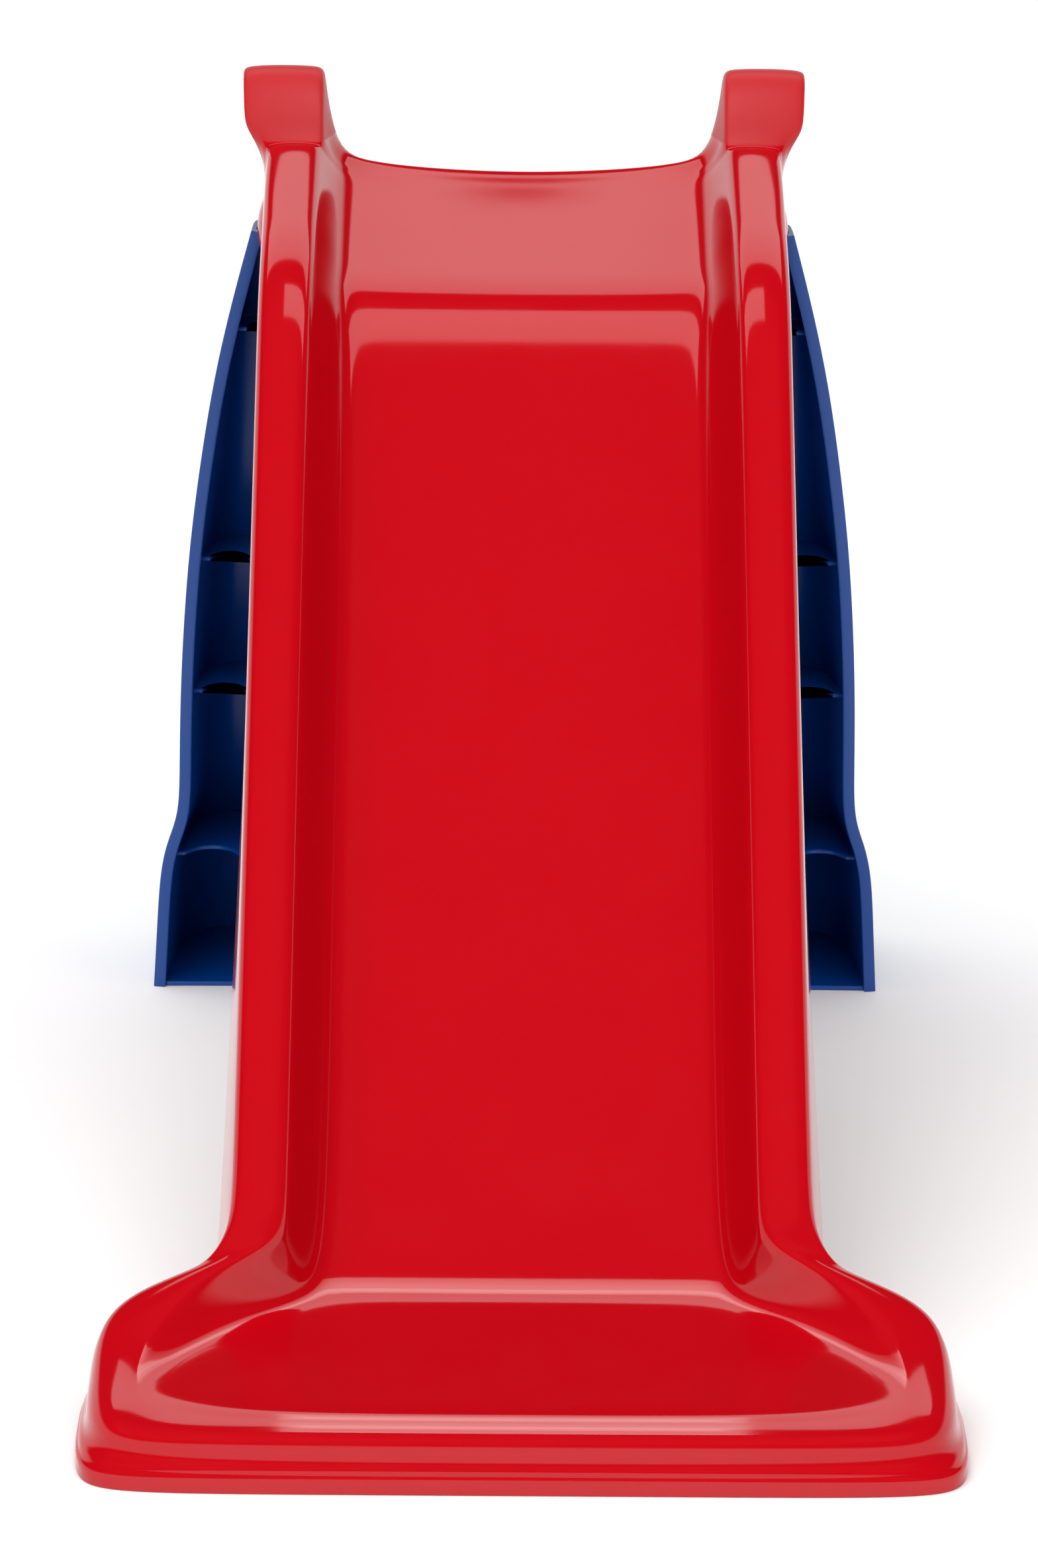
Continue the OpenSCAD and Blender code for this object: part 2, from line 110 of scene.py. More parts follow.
# ---------- node trees ----------
class Num:
    """A number in a node tree, which Python's operators work on."""

    def __init__(self, graph: "Graph", socket: bpy.types.NodeSocket) -> None:
        """Wraps a socket of that graph."""
        self.graph = graph
        self.socket = socket

    def _math(self, operation: str, a: Any, b: Any = 0.0) -> "Num":
        """One maths node on a and b."""
        made = self.graph.node("ShaderNodeMath", {"operation": operation}, {0: a, 1: b})
        return Num(self.graph, made.outputs[0])

    def __add__(self, other: Any) -> "Num":
        """self + other"""
        return self._math("ADD", self, other)

    __radd__ = __add__

    def __mul__(self, other: Any) -> "Num":
        """self * other"""
        return self._math("MULTIPLY", self, other)

    __rmul__ = __mul__

    def __sub__(self, other: Any) -> "Num":
        """self - other"""
        return self._math("SUBTRACT", self, other)

    def __rsub__(self, other: Any) -> "Num":
        """other - self"""
        return self._math("SUBTRACT", other, self)

    def __truediv__(self, other: Any) -> "Num":
        """self / other"""
        return self._math("DIVIDE", self, other)

    def __rtruediv__(self, other: Any) -> "Num":
        """other / self"""
        return self._math("DIVIDE", other, self)

    def step(self, low: Any, high: Any) -> "Num":
        """Eases from 0 where this is at low to 1 where it is at high.

        Args:
            low: Value that gives 0.
            high: Value that gives 1.

        Returns:
            The eased number.
        """
        settings = {"interpolation_type": "SMOOTHSTEP"}
        made = self.graph.node("ShaderNodeMapRange", settings, {0: self, 1: low, 2: high})
        return Num(self.graph, made.outputs[0])


class Graph:
    """Makes the nodes of one shader or geometry tree."""

    def __init__(self, tree: bpy.types.NodeTree) -> None:
        """Starts from an empty tree."""
        self.tree = tree
        tree.nodes.clear()

    def node(
        self,
        kind: str,
        settings: Optional[dict[str, Any]] = None,
        inputs: Optional[dict[Union[str, int], Any]] = None,
    ) -> bpy.types.Node:
        """Makes one node.

        Args:
            kind: The node's type name.
            settings: Properties to set.
            inputs: Input sockets by name or number, each a Num, a socket or a constant.

        Returns:
            The node.
        """
        made = self.tree.nodes.new(kind)
        for name, value in (settings or {}).items():
            setattr(made, name, value)
        for key, value in (inputs or {}).items():
            value = value.socket if isinstance(value, Num) else value
            if isinstance(value, bpy.types.NodeSocket):
                self.tree.links.new(value, made.inputs[key])
            else:
                made.inputs[key].default_value = value
        return made

    def num(self, node: bpy.types.Node, output: Union[str, int] = 0) -> Num:
        """An output of a node as a number."""
        return Num(self, node.outputs[output])

    def place(self) -> tuple[bpy.types.NodeSocket, Num, Num, Num]:
        """The object's own coordinates, in metres, whole and by axis."""
        whole = self.node("ShaderNodeTexCoord").outputs["Object"]
        split = self.node("ShaderNodeSeparateXYZ", inputs={0: whole})
        return whole, self.num(split, 0), self.num(split, 1), self.num(split, 2)

    def noise(self, place: Any, scale: float, detail: float = 3.0) -> Num:
        """Soft noise between 0 and 1.

        Args:
            place: Coordinates it is read at.
            scale: Grains to a metre.
            detail: Octaves.

        Returns:
            The noise.
        """
        made = self.node("ShaderNodeTexNoise", None, {"Vector": place, "Scale": scale, "Detail": detail})
        return self.num(made)

    def mixed(self, factor: Any, a: Any, b: Any) -> bpy.types.NodeSocket:
        """A colour between a and b."""
        return self.node("ShaderNodeMix", {"data_type": "RGBA"}, {0: factor, 6: a, 7: b}).outputs[2]

    def bump(self, height: Num, strength: float, distance: float) -> bpy.types.NodeSocket:
        """A normal tilted by a height."""
        inputs = {"Height": height, "Strength": strength, "Distance": distance}
        return self.node("ShaderNodeBump", None, inputs).outputs[0]


# ---------- finishes ----------
@dataclass(frozen=True)
class Finish:
    """A finish with an even colour, faint cloudiness and a fine moulded grain."""

    name: str
    base: Colour
    shade: Colour
    roughness: float
    spread: float = 0.04
    metallic: float = 0.0
    grain: float = 900.0
    depth: float = 0.00002

    def colour(self, g: Graph, place: Any, axes: tuple[Num, Num, Num]) -> bpy.types.NodeSocket:
        """The base colour, a little darker in soft patches."""
        return g.mixed(g.noise(place, 9.0), self.base, self.shade)

    def gloss(self, g: Graph, place: Any, axes: tuple[Num, Num, Num]) -> Num:
        """The roughness, a little uneven."""
        return self.roughness + self.spread * (g.noise(place, 35.0) - 0.5)

    def make(self) -> bpy.types.Material:
        """Makes the material.

        Returns:
            The material.
        """
        material = bpy.data.materials.new(self.name)
        material.use_nodes = True
        g = Graph(material.node_tree)
        place, *axes = g.place()
        shader = g.node(
            "ShaderNodeBsdfPrincipled",
            None,
            {
                "Base Color": self.colour(g, place, tuple(axes)),
                "Roughness": self.gloss(g, place, tuple(axes)),
                "Metallic": self.metallic,
                "IOR": 1.5,
                "Normal": g.bump(g.noise(place, self.grain, 2.0), 0.25, self.depth),
            },
        )
        g.node("ShaderNodeOutputMaterial", None, {"Surface": shader.outputs[0]})
        LOG.info("finish %s", self.name)
        return material


@dataclass(frozen=True)
class SlideRed(Finish):
    """Glossy red with a satin grain on the handle posts' hoods."""

    crease: float = 557.0
    satin: float = 0.42

    def hood(self, axes: tuple[Num, Num, Num]) -> Num:
        """1 on the hoods, above their crease."""
        return axes[2].step((self.crease - 1.0) * MM, (self.crease + 1.0) * MM)

    def gloss(self, g: Graph, place: Any, axes: tuple[Num, Num, Num]) -> Num:
        """Glossy, but satin on the hoods."""
        plain = super().gloss(g, place, axes)
        return plain + (self.satin - self.roughness) * self.hood(axes)


# ---------- spline surfaces ----------
def mix(a: Any, b: Any, t: float) -> Any:
    """The value a share t of the way from a to b."""
    return a + (b - a) * t


def along(table: Sequence[Point], x: float) -> float:
    """Straight-line look-up of y at x in a short list of (x, y)."""
    return float(np.interp(x, [p[0] for p in table], [p[1] for p in table]))


def weights(t: float) -> np.ndarray:
    """The four weights of a uniform cubic B-spline."""
    return np.array([(1 - t) ** 3, 3 * t**3 - 6 * t**2 + 4, -3 * t**3 + 3 * t**2 + 3 * t + 1, t**3]) / 6


def smooth(rows: np.ndarray, counts: Sequence[int], mirrored: bool) -> np.ndarray:
    """Smooths control rows along their first axis.

    Args:
        rows: Control points, first axis along the line.
        counts: How many pieces each span is cut into.
        mirrored: Whether the line is met by its reflection at its start, or simply begins there.

    Returns:
        The smoothed rows.
    """
    before = rows[1] * FLIP if mirrored else 2 * rows[0] - rows[1]
    q = np.concatenate([[before], rows, [2 * rows[-1] - rows[-2]]])
    spans = [(i, k / m) for i, m in enumerate(counts) for k in range(m)] + [(len(rows) - 2, 1.0)]
    return np.array([np.tensordot(weights(t), q[i : i + 4], axes=1) for i, t in spans])


def stations(counts: Sequence[int]) -> np.ndarray:
    """Where a smoothed line's points are, counted in control rows."""
    return np.concatenate([np.arange(m) / m + i for i, m in enumerate(counts)] + [[float(len(counts))]])


def skin(net: np.ndarray, rows: Sequence[int], columns: Sequence[int], mirrored: bool) -> np.ndarray:
    """A control net's surface as a grid of points."""
    across = smooth(net, rows, mirrored).transpose(1, 0, 2)
    return smooth(across, columns, mirrored).transpose(1, 0, 2)


def outward(grid: np.ndarray, mirrored: bool) -> np.ndarray:
    """Unit directions away from the material at a grid's points.

    Args:
        grid: Points, rows by columns.
        mirrored: Whether it is met by its reflection at its first row and column.

    Returns:
        The directions.
    """
    flip = FLIP if mirrored else None
    back = np.concatenate([grid[1:2] * flip if mirrored else grid[:1], grid[:-1]])
    fore = np.concatenate([grid[1:], grid[-1:]])
    left = np.concatenate([grid[:, 1:2] * flip if mirrored else grid[:, :1], grid[:, :-1]], axis=1)
    right = np.concatenate([grid[:, 1:], grid[:, -1:]], axis=1)
    normal = np.cross(right - left, fore - back)
    if mirrored:
        normal[0, 0] = np.cross(grid[1, 1] - grid[1, 1] * FLIP, grid[1, 0] - grid[0, 1])
    return normal / np.linalg.norm(normal, axis=2, keepdims=True)


# ---------- solids ----------
@dataclass
class Mesh:
    """Points in millimetres and the faces between them."""

    points: list[Point] = field(default_factory=list)
    faces: list[Sequence[int]] = field(default_factory=list)

    def add(self, points: Iterable[Point], faces: Iterable[Sequence[int]]) -> "Mesh":
        """Adds points, and faces numbered from the first of them."""
        start = len(self.points)
        self.points.extend([tuple(map(float, p)) for p in points])
        self.faces.extend([[start + int(i) for i in f] for f in faces])
        return self

    def mirrored(self) -> "Mesh":
        """The reflection across the middle plane."""
        return Mesh([(-p[0], p[1], p[2]) for p in self.points], [list(reversed(f)) for f in self.faces])


class Shell:
    """A grid of points with a wall behind it and rounded rims."""

    RIM_SHARE = 0.3

    def __init__(self, grid: np.ndarray, wall: Any, mirrored: bool, relief: Optional[np.ndarray] = None):
        """Offsets the grid inwards by the wall.

        Args:
            grid: Points of the outside, rows by columns.
            wall: Thickness, one for all or one for each column.
            mirrored: Whether its reflection joins it at its first row and column.
            relief: How far the outside is raised at each point.
        """
        normal = outward(grid, mirrored)
        walls = np.broadcast_to(np.asarray(wall, float), grid.shape[1:2])
        inside = grid - walls[None, :, None] * normal
        if mirrored:
            inside[0, :, 0] = inside[:, 0, 0] = 0.0
        outside = grid if relief is None else grid + relief[..., None] * normal
        self.layers = [np.maximum(g, [-np.inf, -np.inf, 0.0]) for g in (outside, inside)]
        self.mirrored, self.round = mirrored, self.RIM_SHARE * float(walls.min())
        self.rims = {spot: self._rim(*spot) for spot in self._border()}

    def _border(self) -> list[tuple[int, int]]:
        """The (row, column) spots along the open edge, in order."""
        rows, cols = self.layers[0].shape[:2]
        right = [(i, cols - 1) for i in range(rows - 1)]
        top = [(rows - 1, j) for j in range(cols - 1, -1, -1)]
        if self.mirrored:
            return right + top
        left = [(i, 0) for i in range(rows - 2, -1, -1)]
        return right + top + left + [(0, j) for j in range(1, cols - 1)]

    def _rim(self, i: int, j: int) -> list[np.ndarray]:
        """The rounded rim's points at a spot, moving the two edges back to make room for it."""
        rows, cols = self.layers[0].shape[:2]
        chain, round_ = [], self.round
        for layer, g in enumerate(self.layers):
            way = np.zeros(3)
            if j in ((cols - 1,) if self.mirrored else (0, cols - 1)):
                step = g[i, j] - g[i, j - 1 if j else 1]
                way += step / np.linalg.norm(step)
            if i in ((rows - 1,) if self.mirrored else (0, rows - 1)):
                step = g[i, j] - g[i - 1 if i else 1, j]
                way += step / np.linalg.norm(step)
            if self.mirrored and (i == 0 or j == 0):
                way[0] = 0.0
            chain.append((g[i, j].copy(), way / np.linalg.norm(way)))
        (a, wa), (b, wb) = chain
        across = (b - a) / np.linalg.norm(b - a)
        points = []
        for edge, way, inner in ((a, wa, across), (b, wb, -across)):
            arc = [edge + round_ * ((math.sin(t) - 1) * way + (1 - math.cos(t)) * inner)
                   for t in (math.pi / 8, math.pi / 4, 3 * math.pi / 8, math.pi / 2)]
            points.append(arc)
        self.layers[0][i, j] = a - round_ * wa
        self.layers[1][i, j] = b - round_ * wb
        return [np.maximum(p, [-np.inf, -np.inf, 0.0]) for p in points[0] + points[1][::-1]]

    def mesh(self) -> Mesh:
        """The closed shell."""
        made, index = Mesh(), {}
        rows, cols = self.layers[0].shape[:2]

        def number(layer: int, side: int, i: int, j: int) -> int:
            """The number of a point, made when it is first asked for."""
            side = 1 if self.mirrored and (i == 0 or j == 0) else side
            key = (layer, side, i, j)
            if key not in index:
                index[key] = len(made.points)
                source = self.layers[layer][i, j] if layer < 2 else self.rims[i, j][layer - 2]
                made.points.append(tuple(source * (side, 1, 1)))
            return index[key]

        border = self._border()
        around = border if self.mirrored else border + border[:1]
        for side in (1, -1) if self.mirrored else (1,):
            for i in range(rows - 1):
                for j in range(cols - 1):
                    square = ((i, j), (i, j + 1), (i + 1, j + 1), (i + 1, j))
                    made.faces.append([number(0, side, *c) for c in square])
                    made.faces.append([number(1, side, *c) for c in square[::-1]])
            for one, two in zip(around, around[1:]):
                for a, b in zip((0, *range(2, 10)), (*range(2, 10), 1)):
                    made.faces.append([number(a, side, *one), number(b, side, *one),
                                       number(b, side, *two), number(a, side, *two)])
        return made


def prism(outline: Sequence[Point], low: float, high: float, place: Callable[..., Point]) -> Mesh:
    """A flat plate.

    Args:
        outline: Its outline as (a, b) pairs.
        low: Where it starts along c.
        high: Where it ends along c.
        place: Turns (a, b, c) into a point.

    Returns:
        The closed plate.
    """
    n = len(outline)
    points = [place(a, b, c) for c in (low, high) for a, b in outline]
    sides = [[i, (i + 1) % n, n + (i + 1) % n, n + i] for i in range(n)]
    return Mesh().add(points, [list(range(n))[::-1], [n + i for i in range(n)], *sides])


def lathe(profile: Sequence[Point], place: Callable[..., Point], segments: int = 96) -> Mesh:
    """A turned piece.

    Args:
        profile: Closed loop of (radius, distance along the axis); points on the axis are single.
        place: Turns (across, up, along the axis) into a point.
        segments: Steps round the axis.

    Returns:
        The closed piece.
    """
    made, rings = Mesh(), []
    for r, c in profile:
        angles = [2 * math.pi * k / segments for k in range(segments)] if r > 0 else [0.0]
        rings.append([len(made.points) + k for k in range(len(angles))])
        made.points.extend(tuple(place(r * math.cos(a), r * math.sin(a), c)) for a in angles)
    for one, two in zip(rings, rings[1:] + rings[:1]):
        for k in range(segments):
            n = (k + 1) % segments
            corners = [one[k % len(one)], one[n % len(one)], two[n % len(two)], two[k % len(two)]]
            face = list(dict.fromkeys(corners))
            if len(face) > 2:
                made.faces.append(face)
    return made


def rounded(profile: Sequence[Point], radius: float, steps: int = 4) -> list[Point]:
    """A closed outline with its sharp corners rounded.

    Args:
        profile: Corner points.
        radius: Largest radius.
        steps: Pieces to a corner.

    Returns:
        The rounded outline.
    """
    pts, out = [np.array(p, float) for p in profile], []
    for i, p in enumerate(pts):
        a, b = pts[i - 1] - p, pts[(i + 1) % len(pts)] - p
        la, lb = np.linalg.norm(a), np.linalg.norm(b)
        turn = math.pi - math.acos(float(np.clip(a @ b / (la * lb), -1, 1)))
        if turn < math.radians(20):
            out.append(p)
            continue
        d = min(radius * math.tan(turn / 2), 0.45 * la, 0.45 * lb)
        s, e = p + a / la * d, p + b / lb * d
        out += [(1 - t) ** 2 * s + 2 * t * (1 - t) * p + t * t * e for t in np.linspace(0, 1, steps + 1)]
    return [tuple(p) for p in out]


class Solid:
    """A closed mesh object that others are joined to or cut from."""

    def __init__(self, name: str, mesh: Mesh, bevel: float = 0.0, angle: float = 40.0, steps: int = 3):
        """Makes the object.

        Args:
            name: Its name.
            mesh: Its closed mesh in millimetres.
            bevel: Rounding of its sharp edges, in millimetres.
            angle: What counts as sharp, in degrees.
            steps: Pieces across the rounding.
        """
        data = bpy.data.meshes.new(name)
        data.from_pydata([tuple(c * MM for c in p) for p in mesh.points], [], mesh.faces)
        work = bmesh.new()
        work.from_mesh(data)
        bmesh.ops.recalc_face_normals(work, faces=work.faces)
        work.to_mesh(data)
        work.free()
        self.object = bpy.data.objects.new(name, data)
        bpy.context.scene.collection.objects.link(self.object)
        if bevel:
            self._modify("BEVEL", width=bevel * MM, segments=steps, limit_method="ANGLE",
                         angle_limit=math.radians(angle), use_clamp_overlap=False)

    def _modify(self, kind: str, **settings: Any) -> None:
        """Applies one modifier."""
        modifier = self.object.modifiers.new(kind, kind)
        for key, value in settings.items():
            setattr(modifier, key, value)
        self.bake()

    def bake(self) -> None:
        """Turns what the modifiers give into a plain mesh."""
        bpy.context.view_layer.update()
        depsgraph = bpy.context.evaluated_depsgraph_get()
        made = bpy.data.meshes.new_from_object(self.object.evaluated_get(depsgraph))
        old, self.object.data = self.object.data, made
        self.object.modifiers.clear()
        bpy.data.meshes.remove(old)

    def take(self, other: "Solid", operation: str = "UNION") -> "Solid":
        """Joins another solid to this one, or cuts it away, and removes it.

        Args:
            other: The other solid.
            operation: UNION or DIFFERENCE.

        Returns:
            This solid.
        """
        self._modify("BOOLEAN", operation=operation, solver="MANIFOLD", object=other.object)
        data = other.object.data
        bpy.data.objects.remove(other.object)
        bpy.data.meshes.remove(data)
        return self

    def finish(self, body: Body, slot: Slot, material: bpy.types.Material, nodes: Sequence[str],
               crease: float = 35.0) -> bpy.types.Object:
        """Shades it and gives it to the frame.

        Args:
            body: The CAD body it rides on.
            slot: Its material slot; not used.
            material: Its finish.
            nodes: The CAD nodes it stands for.
            crease: Edges sharper than this many degrees stay sharp.

        Returns:
            The object.
        """
        data = self.object.data
        data.materials.clear()
        data.materials.append(material)
        data.polygons.foreach_set("use_smooth", [True] * len(data.polygons))
        data.set_sharp_from_angle(angle=math.radians(crease))
        data.name = self.object.name
        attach(self.object, body.value)
        if nodes:
            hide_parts(*nodes)
        triangles = sum(len(p.vertices) - 2 for p in data.polygons)
        LOG.info("piece %s: %d triangles", self.object.name, triangles)
        return self.object


# ---------- sizes ----------
@dataclass(frozen=True)
class Layout:
    """The slide's sizes in millimetres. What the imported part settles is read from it."""

    length: float
    half: float
    hinge_u: float
    hinge_z: float
    cheek_in: float
    hub_in: float
    rail_out: float = 152.5
    rail_w: float = 30.0
    floor_half: float = 93.0
    rail_h: float = 45.0
    deck_rail_h: float = 35.0
    skirt_h: float = 45.0
    wall: float = 3.0
    run_l: float = 165.0
    run_h: float = 52.0
    deck_l: float = 150.0
    deck_fall: float = 48.0
    post_h: float = 62.0
    dish: float = 6.0
    rise: float = 5.0
    hood_out: float = 15.0
    flange_h: float = 16.0
    lip_h: float = 7.2
    front_z: float = 31.3
    front_u: float = 17.0
    cheek_r: float = 27.0
    bush_d: float = 18.16
    pin_r: float = 7.0
    nut_r: float = 11.0

    @classmethod
    def measured(cls) -> "Layout":
        """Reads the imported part.

        Returns:
            The sizes.
        """
        low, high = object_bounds()
        hinge = frame["joints"][0]["pos_m"]
        length = (high[1] - low[1]) / MM
        return cls(
            length=length,
            half=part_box("ladder")[1].x / MM,
            hinge_u=hinge[1] / MM + length / 2,
            hinge_z=hinge[2] / MM,
            cheek_in=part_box("hinge_pin_right")[1].x / MM - 4.0,
            hub_in=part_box("bushing_right")[0].x / MM,
        )

    @property
    def rail_in(self) -> float:
        """Inner edge of a rail's top."""
        return self.rail_out - self.rail_w

    @property
    def deck_u(self) -> float:
        """The deck's rear edge."""
        return self.hinge_u + 5.0

    @property
    def deck_h(self) -> float:
        """Height of the deck's rear edge."""
        return self.hinge_z + 35.0

    @property
    def bend(self) -> np.ndarray:
        """The top bend, as (u, z)."""
        return np.array([self.deck_u - self.deck_l, self.deck_h - self.deck_fall])

    @property
    def cheek_x(self) -> float:
        """Outside of the chute's cheek at the hinge."""
        return self.rail_out + 3.5

    def cheek(self, angle: float) -> np.ndarray:
        """A point of the skirt's edge round the hinge, as (u, z)."""
        a = math.radians(angle)
        return np.array([self.hinge_u, self.hinge_z]) + self.cheek_r * np.array([math.cos(a), math.sin(a)])

    def world(self, x: float, u: float, z: float) -> Point:
        """A point with u measured from the middle instead of from the lip."""
        return (x, u - self.length / 2, z)

    def at_hinge(self, across: float, up: float, out: float) -> Point:
        """A point given round the hinge axis on the right side."""
        return self.world(out, self.hinge_u + across, self.hinge_z + up)


# ---------- chute ----------
@dataclass
class Chute:
    """The whole red moulding: sliding floor, rails, deck, handle posts, flared foot and skirt."""

    size: Layout
    finish: Finish
    columns: tuple[int, ...] = (5, 5, 7, 8, 8, 6, 8, 7, 6, 6, 7, 6)
    foot_steps: tuple[int, ...] = (8,) * 10
    slope_steps: tuple[int, ...] = (10, 8, 6, 8, 8, 12, 10, 8, 6, 6, 8)
    post_steps: tuple[int, ...] = (7, 8, 8, 9, 11, 11, 9, 7)
    dome_r: float = 19.0
    dome_rise: float = 4.2
    boss_r: float = 16.5
    hole_r: float = 4.0
    hole_depth: float = 4.0

    def run_z(self, u: float) -> float:
        """Floor height of the run-out."""
        s = self.size
        return mix(s.front_z, s.run_h, (u - s.front_u) / (s.run_l - s.front_u))

    def foot_row(self, e: Point, r: Point, o: Point, i: Point, a: Point, c: float) -> list[Point]:
        """A row from the middle of the floor out over the foot's crest and down its flange.

        Args:
            e: Bottom edge.
            r: Foot of the wall.
            o: Outer edge of the crest.
            i: Inner edge of the crest.
            a: Edge of the floor.
            c: How far back the row starts.

        Returns:
            Thirteen control points.
        """
        s, za = self.size, self.run_z(a[1])
        h, drop = i[2] - za, o[2] - s.flange_h
        back = mix(c, a[1], 0.55)
        return [
            (0, c, self.run_z(c)),
            (a[0] * 0.55, back, self.run_z(back)),
            (a[0], a[1], za),
            (mix(a[0], i[0], 0.4), mix(a[1], i[1], 0.4), za + 0.12 * h),
            (mix(a[0], i[0], 0.85), mix(a[1], i[1], 0.85), za + 0.85 * h),
            i,
            o,
            (mix(o[0], r[0], 0.55), mix(o[1], r[1], 0.55), o[2] - 0.16 * drop),
            (mix(o[0], r[0], 0.97), mix(o[1], r[1], 0.97), o[2] - 0.5 * drop),
            (r[0], r[1], s.flange_h),
            (mix(r[0], e[0], 0.95), mix(r[1], e[1], 0.95), s.lip_h + 2),
            (e[0], e[1], s.lip_h),
            (e[0], e[1], 0),
        ]

    def upper_row(self, f: Point, t: Point, k: Point, x: Sequence[float], dish: float = 0.0,
                  crisp: float = 0.0) -> list[Point]:
        """A row higher up the chute.

        Args:
            f: Floor, seen from the side.
            t: Rail's top.
            k: Skirt's edge.
            x: Half widths: floor, rail's inner and outer edge, wall under it, skirt's edge.
            dish: How far the floor's middle sinks.
            crisp: How square the rail's shoulders are, 0 to 1.

        Returns:
            Thirteen control points.
        """
        wf, wi, wo, wm, wk = x
        f, t, k = (np.array(p, float) for p in (f, t, k))
        lift, wall, drop = mix(0.07, 0.12, crisp), mix(0.8, 0.94, crisp), mix(0.1, 0.04, crisp)
        down = np.array([0.0, dish])
        spots = [
            (0.0, f - down),
            (wf * 0.55, f - 0.7 * down),
            (wf, f),
            (mix(wf, wi, mix(0.45, 0.7, crisp)), mix(f, t, lift)),
            (wi - 2 + crisp, mix(f, t, wall)),
            (wi + 1 - 2 * crisp, t),
            (wo - 2 + 2 * crisp, t),
            (wo, mix(t, k, drop)),
            (wm, mix(t, k, 0.24)),
            (mix(wm, wk, 0.4), mix(t, k, 0.5)),
            (mix(wm, wk, 0.8), mix(t, k, 0.8)),
            (wk, mix(t, k, 0.93)),
            (wk, k),
        ]
        return [(w, p[0], p[1]) for w, p in spots]

    def foot(self) -> list[list[Point]]:
        """The rows of the flared foot, from the front round to its side."""
        s, half = self.size, self.size.half
        side, fu, fz = half - 6.5, s.front_u, s.front_z
        rows = [
            ((0, 0), (0, 5.5), (0, fu - 5, fz - 2), (0, fu + 3, fz), (0, 32), 105),
            ((75, 0), (75, 5.5), (74, fu - 5, fz - 2), (73, fu + 3, fz), (66, 32), 107),
            ((half - 68, 0), (half - 70, 6.5), (half - 75, 13, fz - 2), (half - 81, 21, fz), (half - 98, 34),
             110),
            ((half - 25, 2.5), (half - 31, 11), (half - 39, 19, 30), (half - 48, 28, 32),
             (half - 67, 43), 114),
            ((half - 4, 12), (half - 13, 22), (half - 21, 29, 32.5), (half - 32, 38, 35),
             (half - 55, 54), 118),
            ((half + 0.2, 43), (side + 1.5, 47), (side - 8, 51, 36.5), (side - 22, 57, 39.5),
             (half - 54, 69), 122),
            ((half, 78), (side + 1.5, 80), (side - 6, 81, 43), (side - 26, 84, 48), (half - 62, 90), 127),
            ((half, 108), (side + 1.5, 106), (side - 9, 106, 57), (side - 40, 108, 63),
             (half - 80, 112), 133),
            ((half - 9, 124), (side - 6, 122), (side - 22, 126, 65), (side - 59, 128, 74),
             (half - 102, 132), 141),
            ((half - 46, 136), (side - 46, 134), (side - 58, 140, 72), (s.rail_in + 8, 141, 84),
             (half - 120, 148), 148),
        ]
        return [self.foot_row(*row) for row in rows]

    def toe_row(self) -> list[Point]:
        """The row between the foot and the slope."""
        s = self.size
        widths = (s.floor_half + 6, s.rail_in + 1, s.rail_out + 1, s.rail_out + 4, s.rail_out + 12)
        floor, top = (s.run_l, s.run_h + 3), (s.run_l - 19, s.run_h + 41)
        return self.upper_row(floor, top, (s.run_l + 15, 2), widths)

    def slope_row(self, share: float) -> list[Point]:
        """A row square to the slope, a share of the way up it."""
        s = self.size
        foot = np.array([s.run_l, s.run_h])
        way = (s.bend - foot) / np.linalg.norm(s.bend - foot)
        square = np.array([-way[1], way[0]])
        f = mix(foot, s.bend, share)
        flare = 1 - min(1.0, 1.6 * share)
        widths = (s.floor_half, s.rail_in, s.rail_out, s.rail_out + mix(0.5, 2, flare),
                  s.rail_out + mix(2, 10.5, flare))
        return self.upper_row(f, f + s.rail_h * square, f - s.skirt_h * square, widths)

    def deck_row(self, back: float, k: Point, dish: float = 0.0) -> list[Point]:
        """A row of the deck, that far in front of its rear edge."""
        s = self.size
        angle = math.atan2(s.deck_fall, s.deck_l)
        way = np.array([math.cos(angle), math.sin(angle)])
        f = np.array([s.deck_u, s.deck_h]) - back * way
        t = f + s.deck_rail_h * np.array([-way[1], way[0]])
        f = f + (0, s.rise * max(0.0, 1 - back / s.deck_l))
        widths = (s.floor_half + 3, s.rail_in, s.rail_out, s.rail_out + 0.5, s.cheek_x)
        return self.upper_row(f, t, k, widths, dish * s.dish)

    def post_row(self, f: Point, t: Point, angle: float, out: float, crisp: float = 1.0) -> list[Point]:
        """A row through a handle post, from the deck's rear edge."""
        s = self.size
        edge = np.array([s.deck_u, s.deck_h])
        widths = (s.rail_in - 28, s.rail_in - 2, s.rail_out + 1 + out, s.rail_out + 1, s.cheek_x)
        dish = s.dish * (1 + min(0.0, f[0] / s.deck_l))
        return self.upper_row(edge + f, edge + t, s.cheek(angle), widths, dish, crisp)

